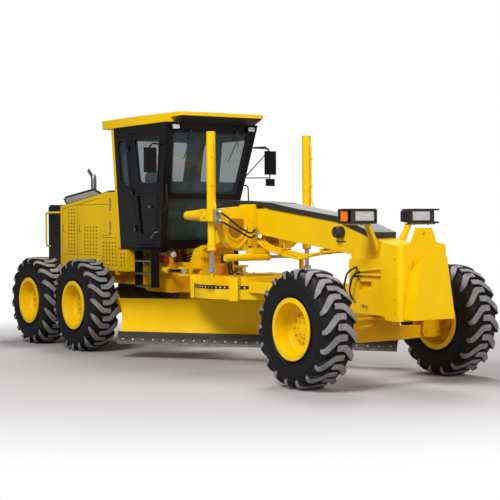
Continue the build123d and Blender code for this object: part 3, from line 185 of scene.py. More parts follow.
print("materials are ready to be built")

# %% [markdown]
# ## Paint
# Machine paint is a thick glossy coat over steel.  It has a faint orange peel, a little dust where
# it faces up, and every plate edge is rounded by the paint itself, which is what catches the light.
# The Bevel node rounds those edges in the shading, so that the light finds them.

# %% Painted steel
YELLOW = (0.88, 0.54, 0.0010)
DUST = (0.60, 0.44, 0.20)


def tinge(colour, share):
    """The same colour, darker or brighter by a share."""
    return tuple(min(1.0, c * share) for c in colour)


def facing_up(paint):
    normal = paint.node("ShaderNodeNewGeometry", output="Normal")
    return paint.node("ShaderNodeSeparateXYZ", sockets={0: normal}, output="Z")


def painted(name, colour, dust=0.04, gloss=0.34, edge=0.006):
    paint = Paint(name)
    broad, fine = paint.noise(1.7, 4.0), paint.noise(38.0, 2.0)
    settled = paint.span(facing_up(paint), 0.35, 1.0) * paint.span(broad, 0.4, 0.7) * dust
    shade = paint.mix(paint.span(broad, 0.32, 0.68), tinge(colour, 0.90), colour)
    shade = paint.mix(settled, shade, DUST)
    rough = paint.span(broad * 0.6 + fine * 0.4, 0.35, 0.65, gloss - 0.05, gloss + 0.09) + settled * 2.0
    peel = paint.noise(240.0, 1.0)
    normal = paint.bump(peel, 0.10, 0.0006, paint.soft_edges(edge))
    return paint.shade(Base_Color=shade, Roughness=rough, Specular_IOR_Level=0.16, Coat_Weight=0.04,
                       Coat_Roughness=0.15, Normal=normal)


yellow = painted("yellow_paint", YELLOW)
cab_black = painted("black_paint", (0.007, 0.006, 0.008), dust=0.0, gloss=0.30, edge=0.005)
rail_black = painted("rail_black", (0.022, 0.022, 0.023), dust=0.02, gloss=0.36, edge=0.003)
grey_board = painted("grey_board", (0.36, 0.36, 0.355), dust=0.02, gloss=0.45, edge=0.002)
print("paints made, the main one", YELLOW)

# %% [markdown]
# ## Bare and plated metal
# Hydraulic rods and the exhaust are chromed, the cutting edge is worn bright where it meets the
# ground, and castings are left rough.  Small pits and streaks in the roughness keep each from
# looking like plastic.

# %% Metals
def plated(name, colour, rough, streak=0.08):
    paint = Paint(name)
    lines = paint.noise(22.0, 3.0, paint.stretched((1, 1, 14)))
    normal = paint.bump(lines, 0.05, 0.0004, paint.soft_edges(0.002))
    return paint.shade(Base_Color=colour, Metallic=1.0, Normal=normal,
                       Roughness=paint.span(lines, 0.3, 0.7, rough, rough + streak))


def cast_metal(name, colour, metal=0.4):
    paint = Paint(name)
    grain, patches = paint.noise(90.0, 4.0), paint.noise(3.0, 4.0)
    shade = paint.mix(paint.span(patches, 0.35, 0.65), tinge(colour, 0.6), colour)
    return paint.shade(Base_Color=shade, Metallic=metal, Roughness=paint.span(grain, 0.3, 0.7, 0.45, 0.72),
                       Normal=paint.bump(grain, 0.35, 0.0015, paint.soft_edges(0.004)))


WORN_FROM_TO = (0.30, 0.215)


def worn_edge():
    """Dark hardened steel, polished more and more from 0.30 m down, where the ground rubs it."""
    paint = Paint("cutting_edge_steel")
    height = paint.node("ShaderNodeSeparateXYZ", sockets={0: paint.where()}, output="Z")
    scratch = paint.noise(60.0, 4.0, paint.stretched((0.2, 0.2, 3.0)))
    worn = (paint.span(height, *WORN_FROM_TO) + paint.span(scratch, 0.45, 0.75, -0.5, 0.5)).clamp()
    shade = paint.mix(worn, (0.028, 0.027, 0.026), (0.20, 0.19, 0.18))
    return paint.shade(Base_Color=shade, Metallic=worn * 0.8, Roughness=0.62 - worn * 0.25,
                       Normal=paint.bump(scratch, 0.3, 0.001, paint.soft_edges(0.003)))


chrome = plated("chrome", (0.80, 0.80, 0.82), 0.06)
steel = plated("bright_steel", (0.45, 0.45, 0.46), 0.28, 0.15)
stack_steel = plated("stack_steel", (0.36, 0.36, 0.37), 0.42, 0.12)
cast_grey = cast_metal("cast_grey", (0.11, 0.11, 0.112))
dark_steel = cast_metal("dark_steel", (0.045, 0.045, 0.047), 0.6)
edge_steel = worn_edge()
print("metals made:", chrome.name, steel.name, cast_grey.name)

# %% [markdown]
# ## Rubber, glass and cloth
# New tyre rubber is nearly black, and the tread's tops are greyer because the mould's skin has
# worn off them and dust sticks there.  The tyre meshes carry a number at each point, 1 on a lug's
# top and 0 elsewhere, and the material reads it.  Cab glass is tinted: it lets about two thirds of
# the light through, and it mirrors more at a flat angle.  The doors' lower panes are nearly black.

# %% Rubber, glass, plastic and cloth
def rubber(name, carcass, top):
    paint = Paint(name)
    worn = paint.node("ShaderNodeAttribute", {"attribute_name": "tread"}, output="Fac")
    grain, blotch = paint.noise(70.0, 4.0), paint.noise(9.0, 4.0)
    greyed = (worn * paint.span(blotch, 0.25, 0.65, 0.55, 1.0)).clamp()
    return paint.shade(Base_Color=paint.mix(greyed, carcass, top), Roughness=0.62 + greyed * 0.22,
                       Specular_IOR_Level=0.22, Normal=paint.bump(grain, 0.25, 0.0012))


def tinted(name, colour, see, shine=0.7):
    paint = Paint(name)
    haze = paint.noise(2.2, 2.0)
    return paint.shade(Base_Color=colour, Roughness=paint.span(haze, 0.3, 0.7, 0.02, 0.05), Alpha=1.0 - see,
                       Specular_IOR_Level=shine, Coat_Weight=shine * 0.8, Coat_Roughness=0.01)


def plastic(name, colour, rough=0.5):
    paint = Paint(name)
    fine = paint.noise(180.0, 2.0)
    return paint.shade(Base_Color=paint.mix(fine, tinge(colour, 0.8), colour),
                       Roughness=paint.span(fine, 0.3, 0.7, rough - 0.06, rough + 0.06),
                       Normal=paint.bump(fine, 0.2, 0.0006, paint.soft_edges(0.003)))


def lens(name, colour, see, glow=0.0):
    """Moulded lamp glass: fine upright ribs under a smooth face."""
    paint = Paint(name)
    wave = paint.wave("Y", 120.0)
    return paint.shade(Base_Color=colour, Roughness=0.06, Alpha=1.0 - see, Coat_Weight=0.8,
                       Coat_Roughness=0.01, Normal=paint.bump(wave, 0.3, 0.002), Emission_Color=colour,
                       Emission_Strength=glow)


def anti_slip(name, colour):
    """Deck paint with a raised pattern of small round studs."""
    paint = Paint(name)
    studs = paint.node("ShaderNodeTexVoronoi", {"feature": "F1"}, {
        "Vector": paint.where(), "Scale": 42.0, "Randomness": 0.25})
    height = paint.span(studs, 0.32, 0.12)
    grit = paint.noise(160.0, 3.0)
    top = paint.span(facing_up(paint), 0.6, 0.9)
    shade = paint.mix(height * top * 0.5, colour, tinge(colour, 1.8))
    return paint.shade(Base_Color=shade, Roughness=paint.span(grit, 0.3, 0.7, 0.5, 0.72),
                       Normal=paint.bump(height * top + grit * 0.25, 0.45, 0.003, paint.soft_edges(0.006)))


def woven(name, colour):
    paint = Paint(name)
    weave = paint.wave("X", 160.0) * 0.5 + paint.wave("Y", 160.0) * 0.5
    return paint.shade(Base_Color=paint.mix(weave, tinge(colour, 0.5), colour), Roughness=0.88,
                       Sheen_Weight=0.3, Normal=paint.bump(weave, 0.5, 0.001))


tyre_rubber = rubber("tyre_rubber", (0.008, 0.0075, 0.008), (0.25, 0.235, 0.235))
cab_glass = tinted("cab_glass", (0.035, 0.075, 0.090), 0.67)
dark_glass = tinted("dark_glass", (0.006, 0.006, 0.008), 0.05, shine=0.12)
black_plastic = plastic("black_plastic", (0.022, 0.022, 0.023))
seal_rubber = plastic("seal_rubber", (0.012, 0.012, 0.012), 0.65)
grey_deck = anti_slip("deck_studs", (0.19, 0.19, 0.185))
seat_cloth = woven("seat_cloth", (0.06, 0.06, 0.066))
clear_lens = lens("clear_lens", (0.75, 0.78, 0.78), 0.45)
amber_lens = lens("amber_lens", (0.85, 0.16, 0.004), 0.1, glow=0.15)
red_lens = lens("red_lens", (0.55, 0.01, 0.008), 0.1, glow=0.05)
mirror_face = plated("mirror_face", (0.75, 0.78, 0.80), 0.02, 0.02)
# black parts, and painted shade for holes, slots and the hood's punched holes
hole_black = plastic("hole_black", (0.006, 0.005, 0.004), 0.9)
print("materials:", len(bpy.data.materials))

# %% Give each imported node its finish
FINISH = {"yellow": yellow, "black_paint": cab_black, "tyre": tyre_rubber, "glass": cab_glass,
          "dark_steel": dark_steel, "chrome": chrome, "cast": cast_grey,
          "seat": seat_cloth, "deck": grey_deck}
slot_of = {part["node"]: part["material_slot"] for part in frame["record"]["subparts"]}


def dress(node, material):
    nodes[node].data.materials.clear()
    nodes[node].data.materials.append(material)


for node, slot_name in slot_of.items():
    dress(node, FINISH[slot_name])
dress("cutting_edge", edge_steel)
dress("engine_block", cast_grey)
dress("exhaust_stack", stack_steel)
# painted shade: a darker, more orange yellow for the frame and axle parts that sit low in the machine's
# shadow
painted_shade_yellow = painted("painted_shade_yellow", (0.80, 0.40, 0.003), dust=0.03)
for node in ("rear_frame", "front_axle", "lean_bar", "lean_carrier_left", "lean_carrier_right",
             "knuckle_left", "knuckle_right"):
    dress(node, painted_shade_yellow)


def repaint(node, material, wanted):
    """Give the faces that a rule picks, by their middle and normal, a second finish."""
    mesh = nodes[node].data
    mesh.materials.append(material)
    for face in mesh.polygons:
        if wanted(face.center, face.normal):
            face.material_index = len(mesh.materials) - 1


repaint("walkway_cover", black_plastic, lambda middle, normal: normal.z < 0.5)
repaint("cab_rear_wall", black_plastic, lambda middle, normal: normal.x > 0.3)
for word in ("left", "right"):
    repaint(f"door_glass_{word}", dark_glass, lambda middle, normal: middle.z < 2.30)
print("finishes used:", sorted(set(slot_of.values())))

# %% [markdown]
# ## Shapes from formulas
# Every new piece is a surface worked out on a grid of points: a profile turned round an axle, a
# circle carried along a pipe's path, an outline given a thickness.  The points come from whole
# numpy arrays, so a shape can be changed by changing one number in its formula.

# %% From arrays to a piece
def unit(vector):
    vector = np.asarray(vector, float)
    return vector / np.linalg.norm(vector)


def grid_faces(rows, columns, close_rows=False, close_columns=False):
    """Corner numbers of the quads on a grid of points, with either direction closed on itself."""
    r = np.arange(rows if close_rows else rows - 1)[:, None]
    c = np.arange(columns if close_columns else columns - 1)[None, :]
    r1, c1 = (r + 1) % rows, (c + 1) % columns
    quads = np.stack(np.broadcast_arrays(r * columns + c, r * columns + c1, r1 * columns + c1,
                                         r1 * columns + c), -1)
    return [tuple(face) for face in quads.reshape(-1, 4).tolist()]


def end_faces(rows, columns):
    """The two faces that close a tube of rings: its first ring and its last."""
    return [tuple(range(columns))[::-1], tuple(range((rows - 1) * columns, rows * columns))]


def renumbered(faces, by):
    return [tuple(corner + by for corner in face) for face in faces]


# which colour slot each finish usually goes in
SLOT_FINISHES = {
    "dark_steel": "hole_black seal_rubber red_lens shaded_paint drive_paint dark_steel valve_paint nut_paint",
    "yellow": "hinge_grey yellow_paint",
    "deck": "grey_board deck_studs",
    "black_paint": "black_plastic rail_black",
    "chrome": "bright_steel reflector mirror_face",
    "glass": "clear_lens amber_lens",
    "seat": "seat_cloth",
    "tyre": "tyre_rubber",
}
USUAL_SLOT = {finish: name for name, finishes in SLOT_FINISHES.items() for finish in finishes.split()}


def piece(name, parts, material, body, smooth=40, replaces=(), slot=None, bevel=0.0):
    """One object from (points, faces) parts, riding on a body, smooth below an angle in degrees."""
    points, faces, start = [], [], 0
    for part_points, part_faces in parts:
        points.append(part_points)
        faces += renumbered(part_faces, start)
        start += len(part_points)
    mesh = bpy.data.meshes.new(name)
    mesh.from_pydata(np.concatenate(points).tolist(), [], faces)
    mesh.materials.append(material)
    made = bpy.data.objects.new(name, mesh)
    bpy.context.scene.collection.objects.link(made)
    work = bmesh.new()
    work.from_mesh(mesh)
    bmesh.ops.recalc_face_normals(work, faces=work.faces)
    for face in work.faces:
        face.smooth = bool(smooth)
    work.to_mesh(mesh)
    work.free()
    if bevel:
        rounding = made.modifiers.new("rounding", "BEVEL")
        rounding.width, rounding.segments, rounding.limit_method = bevel, 2, "ANGLE"
        rounding.angle_limit = math.radians(35)
    if smooth:
        mesh.set_sharp_from_angle(angle=math.radians(smooth))
    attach(made, body)
    if replaces:
        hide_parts(*replaces)
    slot = slot or USUAL_SLOT[material.name.split(".")[0]]
    return made


def frame_at(axis):
    """Two directions square to an axis and to each other."""
    axis = unit(axis)
    helper = np.array((0, 0, 1.0)) if abs(axis[2]) < 0.9 else np.array((1.0, 0, 0))
    first = unit(np.cross(helper, axis))
    return first, np.cross(axis, first)


def circle_of(first, second, steps):
    """Directions round a circle: cos t * first + sin t * second, for rows of first and second."""
    t = np.linspace(0, 2 * math.pi, steps, endpoint=False)[:, None]
    return np.cos(t) * first + np.sin(t) * second


def turned(profile, centre, axis, steps=48, closed=False):
    """A profile of (radius, distance along the axis) carried round the axis: each point is
    centre + distance * axis + radius * (cos t * first + sin t * second).  Open ends are capped."""
    profile = np.asarray(profile, float)
    ring = circle_of(*frame_at(axis), steps)
    points = (np.asarray(centre, float) + profile[:, 1, None, None] * unit(axis)
              + profile[:, 0, None, None] * ring)
    faces = grid_faces(len(profile), steps, closed, True)
    return points.reshape(-1, 3), faces if closed else faces + end_faces(len(profile), steps)


def rod(start, end, radius, steps=20):
    """A round bar between two points, its ends eased by 0.15 of the radius."""
    start, end = np.asarray(start, float), np.asarray(end, float)
    long = np.linalg.norm(end - start)
    e = min(radius * 0.15, long * 0.25)
    return turned([(radius - e, 0), (radius, e), (radius, long - e), (radius - e, long)],
                  start, end - start, steps)


def corner_curve(before, corner, after, radius, share, steps):
    """The curve (1 - t)^2 a + 2 t (1 - t) corner + t^2 b that stands in for a corner.  Its ends a and b
    lie a radius from the corner, or a share of the shorter run."""
    t = np.linspace(0, 1, steps + 1)[:, None]
    reach = min(radius, share * np.linalg.norm(corner - before), share * np.linalg.norm(after - corner))
    a, b = corner + reach * unit(before - corner), corner + reach * unit(after - corner)
    return list((1 - t) ** 2 * a + 2 * t * (1 - t) * corner + t ** 2 * b)


def smooth_path(corners, radius, steps=5):
    """Points along straight runs, with each corner rounded."""
    corners = [np.asarray(c, float) for c in corners]
    points = [corners[0]]
    for trio in zip(corners, corners[1:], corners[2:]):
        points += corner_curve(*trio, radius, 0.49, steps)
    return np.array(points + [corners[-1]])


def rounded(corners, radius, steps=4):
    """A closed outline with its corners rounded."""
    corners = np.asarray(corners, float)
    points = []
    for trio in zip(np.roll(corners, 1, 0), corners, np.roll(corners, -1, 0)):
        points += corner_curve(*trio, radius, 0.45, steps)
    return np.array(points)


def pipe(path, radius, sides=10):
    """A circle carried along a path: at each point it stands square to the path, and its start
    direction is carried on with the least twist."""
    path = np.asarray(path, float)
    along = np.gradient(path, axis=0)
    along /= np.linalg.norm(along, axis=1)[:, None]
    side = [frame_at(along[0])[0]]
    for direction in along[1:]:
        side.append(unit(side[-1] - direction * np.dot(side[-1], direction)))
    side = np.array(side)
    ring = circle_of(side[:, None], np.cross(along, side)[:, None], sides)
    faces = grid_faces(len(path), sides, False, True) + end_faces(len(path), sides)
    return (path[:, None] + radius * ring).reshape(-1, 3), faces


def loop_pipe(path, radius, sides=8):
    """A pipe along a closed path, with each circle square to the path."""
    along = np.roll(path, -1, 0) - np.roll(path, 1, 0)
    along /= np.linalg.norm(along, axis=1)[:, None]
    normal = unit(np.cross(path[len(path) // 4] - path[0], path[len(path) // 2] - path[0]))
    side = np.cross(along, normal)
    side /= np.linalg.norm(side, axis=1)[:, None]
    ring = circle_of(side[:, None], np.cross(along, side)[:, None], sides)
    return (path[:, None] + radius * ring).reshape(-1, 3), grid_faces(len(path), sides, True, True)


def plate(outline, low, high, axis):
    """An outline of two coordinates, standing from low to high along the X, Y or Z axis."""
    outline = np.asarray(outline, float)
    count = len(outline)
    others = [i for i in range(3) if i != axis]
    points = np.empty((2, count, 3))
    points[:, :, others[0]], points[:, :, others[1]] = outline[:, 0], outline[:, 1]
    points[0, :, axis], points[1, :, axis] = low, high
    sides = [(i, (i + 1) % count, (i + 1) % count + count, i + count) for i in range(count)]
    return points.reshape(-1, 3), end_faces(2, count) + sides


def brick(x0, x1, y0, y1, z0, z1):
    """A six-sided block between two corners."""
    return plate([(x0, y0), (x1, y0), (x1, y1), (x0, y1)], z0, z1, 2)


def bolts(places, axis, size=0.014, rise=None):
    """Six-sided bolt heads on washers, all facing along the axis, from one small turned form."""
    rise = rise or size * 0.75
    profile = [(size * 1.5, 0), (size * 1.5, rise * 0.2), (size, rise * 0.2), (size, rise * 0.9),
               (size * 0.8, rise), (0.001, rise)]
    points, faces = turned(profile, (0, 0, 0), axis, 6)
    all_faces = [face for k in range(len(places)) for face in renumbered(faces, k * len(points))]
    return (np.asarray(places, float)[:, None] + points).reshape(-1, 3), all_faces


def flipped(part):
    """The same part on the machine's other side."""
    points, faces = part
    points = np.array(points, float)
    points[:, 1] *= -1
    return points, [tuple(f)[::-1] for f in faces]


def on_hand(side, *parts):
    """Parts made for the left, as they are or mirrored for the right."""
    return [part if side > 0 else flipped(part) for part in parts]


def both_sides(*parts):
    return [*parts, *(flipped(part) for part in parts)]


TANDEM_X, FRONT_X = -2.7, 3.5
BEAM_SIDE = 0.170


def at(d):
    """X of a place d metres ahead of the middle of the rear wheels."""
    return TANDEM_X + d


def ahead(*places):
    """Places (d, z) given as metres ahead of the rear wheels and height, turned into (X, Z)."""
    return [(at(d), z) for d, z in places]
print("faces in one bolt:", len(bolts([(0, 0, 0)], (0, 0, 1))[1]))

# %% [markdown]
# ## Tyres
# A grader's tyre has two rows of long lugs.  Each starts a little past the middle, runs straight
# across, then bends back to the shoulder and a short way down the sidewall, and the two rows are
# half a pitch apart.  The carcass is one profile turned round the axle.  A lug is one small grid:
# stations along its middle line, and six points across its section.  All lugs are the same grid
# turned by whole pitches, so a tyre is two formulas and no sculpting.

# %% The tyre's sections
TYRE_R, WHEEL_Z, WHEEL_Y = 0.675, 0.675, 1.08
LUGS = 18
CHAMFER, DRAFT = 0.006, 0.010
BEAD_R, BEAD_HALF = 0.318, 0.1785


# radius, distance from the middle
CARCASS = [(0.640, 0.0), (0.639, 0.06), (0.635, 0.12), (0.627, 0.165), (0.610, 0.193), (0.585, 0.207),
           (0.545, 0.2135), (0.541, 0.2185), (0.533, 0.2185), (0.529, 0.214), (0.480, 0.2165),
           (0.435, 0.2125), (0.412, 0.206), (0.408, 0.209), (0.398, 0.208), (0.395, 0.203), (0.372, 0.190),
           (0.359, 0.1795), (BEAD_R, BEAD_HALF)]
# the surface that the lugs' tops reach, and the one that their feet stand in: distance round the
# section, radius, distance from the middle
LUG_TOP = np.array([(0.0, 0.675, 0.0), (0.10, 0.674, 0.10), (0.17, 0.669, 0.17), (0.197, 0.662, 0.195),
                    (0.222, 0.645, 0.2135), (0.252, 0.618, 0.2195), (0.285, 0.586, 0.2185),
                    (0.30, 0.572, 0.214)])
LUG_FOOT = np.array([(0.0, 0.636, 0.0), (0.10, 0.634, 0.10), (0.17, 0.622, 0.16), (0.197, 0.610, 0.182),
                     (0.222, 0.596, 0.193), (0.252, 0.580, 0.200), (0.285, 0.565, 0.204),
                     (0.30, 0.558, 0.206)])
# the lug's middle line: distance round the section, distance round the tyre, half width
LUG_LINE = np.array([(-0.062, 0.0, 0.034), (-0.045, 0.0, 0.039), (0.0, 0.0, 0.040), (0.048, 0.002, 0.041),
                     (0.075, 0.018, 0.042), (0.12, 0.062, 0.040), (0.165, 0.108, 0.038),
                     (0.198, 0.142, 0.037), (0.225, 0.162, 0.035), (0.262, 0.172, 0.031),
                     (0.298, 0.176, 0.024)])


def on_section(table, distance):
    """Radius and signed distance from the middle, at a signed distance round the section."""
    d = np.abs(distance)
    return np.interp(d, table[:, 0], table[:, 1]), np.sign(distance) * np.interp(d, table[:, 0], table[:, 2])


def lug_row(centre, sense, side):
    """All lugs of one row.  Across each station the offsets -w-draft, -w, -w+chamfer and their
    mirror images make the section, its feet on LUG_FOOT and its top on LUG_TOP."""
    run = np.gradient(LUG_LINE[:, :2], axis=0)
    run /= np.linalg.norm(run, axis=1)[:, None]
    square = np.stack([-run[:, 1], run[:, 0]], 1)
    w = LUG_LINE[:, 2]
    offsets = np.stack([-w - DRAFT, -w, -w + CHAMFER, w - CHAMFER, w, w + DRAFT], 1)
    lift = np.array([0.0, 0.84, 1.0, 1.0, 0.84, 0.0])[None]
    spot = LUG_LINE[:, None, :2] + offsets[:, :, None] * square[:, None]
    top_r, top_y = on_section(LUG_TOP, spot[..., 0])
    foot_r, foot_y = on_section(LUG_FOOT, spot[..., 0])
    radius, off = foot_r + (top_r - foot_r) * lift, foot_y + (top_y - foot_y) * lift
    pitch = 2 * math.pi / LUGS
    angle = sense * spot[..., 1] / TYRE_R
    turns = np.arange(LUGS) * pitch + (0.25 if side > 0 else -0.25) * pitch
    angle = angle[None] + turns[:, None, None]
    points = np.stack([centre[0] + radius * np.cos(angle), centre[1] + side * off + 0 * angle,
                       centre[2] + radius * np.sin(angle)], -1)
    rows, columns = spot.shape[:2]
    quads = grid_faces(rows, columns)
    one = rows * columns
    faces = [face for k in range(LUGS) for face in renumbered(quads, k * one)]
    for k in range(LUGS):
        first, last = k * one, k * one + one - columns
        faces += [tuple(range(first, first + columns)), tuple(range(last, last + columns))[::-1]]
    tread = np.broadcast_to((lift > 0.9), spot.shape[:2]).reshape(-1).astype(np.float32)
    return points.reshape(-1, 3), faces, np.tile(tread, LUGS)


def tyre(name, x, y, sense):
    half = np.asarray(CARCASS)
    section = np.concatenate([half[::-1] * (1, -1), half[1:]])
    carcass = turned(section, (x, y, WHEEL_Z), (0, 1, 0), 108, closed=True)
    parts, tread = [carcass], [np.zeros(len(carcass[0]), np.float32)]
    for side in (1, -1):
        points, faces, tops = lug_row((x, y, WHEEL_Z), sense, side)
        parts.append((points, faces))
        tread.append(tops)
    made = piece(f"tread_{name}", parts, tyre_rubber, f"wheel_{name}", smooth=38, replaces=(f"tyre_{name}",))
    worn = made.data.attributes.new("tread", "FLOAT", "POINT")
    worn.data.foreach_set("value", np.concatenate(tread))
    return made


WHEELS = {"rear_left": (TANDEM_X - 0.77, 1, 1), "rear_right": (TANDEM_X - 0.77, -1, 1),
          "middle_left": (TANDEM_X + 0.77, 1, 1), "middle_right": (TANDEM_X + 0.77, -1, 1),
          "front_left": (FRONT_X, 1, -1), "front_right": (FRONT_X, -1, -1)}
for name, (x, side, sense) in WHEELS.items():
    made = tyre(name, x, side * WHEEL_Y, sense)
print("faces in one tyre:", len(made.data.polygons))

# %% [markdown]
# ## Rims
# Each rim is a rolled steel barrel with a thick lip and a lock ring, welded to a dished disc that is
# bolted to the hub.  All of it is one profile turned round the axle, with a ring of nuts and a
# valve added.

# %% Rims, nuts and hub caps
# radius, distance outward from the middle of the wheel
RIM = [(0.297, -0.2185), (0.352, -0.2185), (0.355, -0.214), (0.3545, -0.202), (0.346, -0.2003),
       (0.3172, -0.2003), (0.3172, 0.2003), (0.346, 0.2003), (0.3535, 0.2025), (0.355, 0.208),
       (0.3535, 0.2165), (0.346, 0.2195), (0.331, 0.2195), (0.326, 0.2165), (0.3225, 0.2165),
       (0.318, 0.2195), (0.304, 0.2195), (0.2985, 0.212), (0.2965, 0.150), (0.2925, 0.142), (0.2925, 0.060),
       (0.286, 0.044), (0.262, 0.026), (0.205, 0.0135), (0.185, 0.016), (0.178, 0.030), (0.150, 0.0335),
       (0.118, 0.034), (0.110, 0.046), (0.098, 0.0545), (0.0, 0.0555), (0.0, 0.0), (0.200, -0.0095),
       (0.285, -0.012), (0.297, -0.030)]
NUTS, NUT_CIRCLE, CAP_CIRCLE = 12, 0.163, 0.075


def rim(name, x, side):
    y = side * WHEEL_Y
    t = np.arange(NUTS) * 2 * math.pi / NUTS
    ring = [(x + NUT_CIRCLE * math.cos(a), y + side * 0.033, WHEEL_Z + NUT_CIRCLE * math.sin(a)) for a in t]
    caps = [(x + CAP_CIRCLE * math.cos(a), y + side * 0.055,
             WHEEL_Z + CAP_CIRCLE * math.sin(a)) for a in t[::2]]
    body = f"wheel_{name}"
    piece(f"rim_steel_{name}", [turned(RIM, (x, y, WHEEL_Z), (0, side, 0), 72, closed=True)], yellow, body,
          smooth=35, replaces=(f"rim_{name}",))
    piece(f"nuts_{name}", [bolts(ring, (0, side, 0), 0.013, 0.020), bolts(caps, (0, side, 0), 0.008)],
          rim_nut, body, smooth=30)
    stem = np.array((x + 0.26, y + side * 0.06, WHEEL_Z))
    piece(f"valve_{name}", [rod(stem, stem + np.array((-0.012, side * 0.045, 0)), 0.005, 8)], dark_steel,
          body)


rim_nut = painted("nut_paint", (0.55, 0.29, 0.008), dust=0.0, gloss=0.4)
for name in WHEELS:
    rim(name, *WHEELS[name][:2])
print("rims:", len(WHEELS))

# %% [markdown]
# ## The hood's small parts
# The hood's sides are folded sheet with fields of punched holes, and the doors close on soft rubber.
# What the CAD leaves out here is thin: a liner of painted shade behind the holes, pressed seams,
# hinge strips in a painted-shade brown, a pale guard board under the top rail, and the chromed latches.

# %% Liner, seams, latches and boards
HOOD_Y = 0.600
SEAM_WIDTH, SEAM_DEPTH = 0.006, 0.0016
# painted shade: a dark sheet behind the punched holes, standing for the shadowed engine bay
liner = brick(at(-0.83), at(0.86), 0.5772, 0.5788, 1.19, 2.12)
piece("hood_liner_shade", both_sides(liner), hole_black, "rear_body", slot="black_paint")


def seam(start, end):
    """A thin dark line on a side panel, drawn as a flat bar between two points."""
    (x0, z0), (x1, z1) = ahead(start, end)
    along = unit((x1 - x0, z1 - z0))
    dx, dz = -along[1] * SEAM_WIDTH / 2, along[0] * SEAM_WIDTH / 2
    return plate([(x0 - dx, z0 - dz), (x1 - dx, z1 - dz), (x1 + dx, z1 + dz), (x0 + dx, z0 + dz)],
                 HOOD_Y, HOOD_Y + SEAM_DEPTH, 1)


seams = [seam((-0.96, 2.105), (0.31, 2.255)), seam((-0.95, 1.385), (-0.47, 1.385)),
         seam((-0.44, 1.20), (-0.44, 2.14)), seam((-0.962, 1.385), (-0.962, 2.105)),
         seam((0.40, 1.655), (0.865, 1.655)), seam((0.395, 1.20), (0.395, 1.36))]
piece("hood_seams", both_sides(*seams), seal_rubber, "rear_body", slot="black_paint")

# painted shade: the hinge strips get a darkened, brownish yellow in place of the shade on them
hinge_grey = painted("hinge_grey", (0.26, 0.19, 0.10), dust=0.0, gloss=0.5)
strips = [brick(at(0.652), at(0.682), HOOD_Y, HOOD_Y + 0.012, z, z + 0.19) for z in (1.715, 2.06)]
piece("hinge_strips", both_sides(*strips), hinge_grey, "rear_body", bevel=0.003)

LATCH = [(0.001, 0.0162), (0.017, 0.0162), (0.020, 0.014), (0.0205, 0.0)]
for side, word in ((1, "left"), (-1, "right")):
    for name, x, body in (("rear", at(-0.91), "rear_body"), ("door", at(-0.335), f"engine_door_{word}")):
        ring = turned(LATCH, (x, side * HOOD_Y, 1.83), (0, side, 0), 24)
        paddle = brick(x - 0.017, x + 0.017, *sorted((side * (HOOD_Y + 0.015), side * (HOOD_Y + 0.0205))),
                       1.757, 1.797)
        piece(f"latch_{name}_{word}", [ring, paddle], steel, body, bevel=0.0015)

# pale boards that close the gap between the deck and its low rail
board = ahead((-1.02, 2.18), (-1.145, 2.277), (-0.065, 2.389), (0.20, 2.323), (0.10, 2.318))
piece("deck_boards", both_sides(plate(board, 0.497, 0.503, 1)), grey_board, "rear_body")
dress("hood_cover", rail_black)
print("hood pieces made")

# %% [markdown]
# ## Rear lamps and the radiator
# The back of a grader carries its radiator behind slats, with red tail lamps either side.

# %% Tail lamps and filler cap
tail = turned([(0.0, 0.014), (0.040, 0.014), (0.046, 0.009), (0.047, -0.004), (0.0, -0.004)],
              (at(-1.572), 0.475, 1.62), (-1, 0, 0), 28)
piece("tail_lamps", both_sides(tail), red_lens, "rear_body")
cap = turned([(0.0, 0.052), (0.030, 0.052), (0.042, 0.046), (0.046, 0.038), (0.046, 0.0), (0.0, 0.0)],
             (at(-0.55), 0.25, 2.235), (0, 0, 1), 28)
piece("filler_cap", [cap], black_plastic, "rear_body")
print("rear lamps and cap made")

# %% [markdown]
# ## The cab's trim
# The cab is a welded frame of square tube, glazed on all sides and wider at the top, so that the
# driver sees both ends of the blade.  Each window sits in a black rubber seal, which shows as a
# soft raised line.  The window outlines repeat those of the frame, worked out from the cab's lean.

# %% Window seals
CAB_LOW, CAB_HIGH = 1.50, 3.26


def cab_lean(z, low, high):
    """A cab measure at height z, given at the floor and at the top."""
    return low + (high - low) * (np.asarray(z, float) - CAB_LOW) / (CAB_HIGH - CAB_LOW)


def cab_side_y(z):
    return cab_lean(z, 0.586, 0.763)


def cab_front_x(z):
    return at(cab_lean(z, 2.11, 2.60))


def side_seal(points):
    """A rubber cord round a side window: the outline's X and Z, and the cab's own lean for Y."""
    x, z = rounded(points, 0.045, 5).T
    return loop_pipe(np.stack([x, cab_side_y(z) + 0.004, z], 1), 0.009)


def front_seal(low, high, trim):
    half_low, half_high = cab_side_y(low) - trim, cab_side_y(high) - trim
    y, z = rounded([(-half_low, low), (half_low, low), (half_high, high), (-half_high, high)], 0.05, 5).T
    return loop_pipe(np.stack([cab_front_x(z) + 0.003, y, z], 1), 0.010)


def door_front(z):
    """The front edge of a door's pane, 0.15 m behind the cab's front."""
    return cab_front_x(z) - 0.15, z


QUARTER = ahead((1.14, 2.47), (1.42, 2.33), (1.42, 3.08), (1.21, 3.08), (1.16, 2.96))
UPPER = [*ahead((1.67, 2.49), (1.75, 2.43)), door_front(2.43), door_front(3.07), (at(1.67), 3.07)]
LOWER = [(at(1.59), 1.70), door_front(1.70), door_front(2.27), (at(1.59), 2.27)]
panes = [front_seal(2.29, 3.13, 0.13), front_seal(1.64, 2.20, 0.11)]
piece("cab_seals", both_sides(side_seal(QUARTER)) + panes, seal_rubber, "rear_body", slot="black_paint")
for side, word in ((1, "left"), (-1, "right")):
    seals = [side_seal(UPPER), side_seal(LOWER)]
    piece(f"door_seals_{word}", on_hand(side, *seals), seal_rubber, f"cab_door_{word}", slot="black_paint")
print("window seals made")

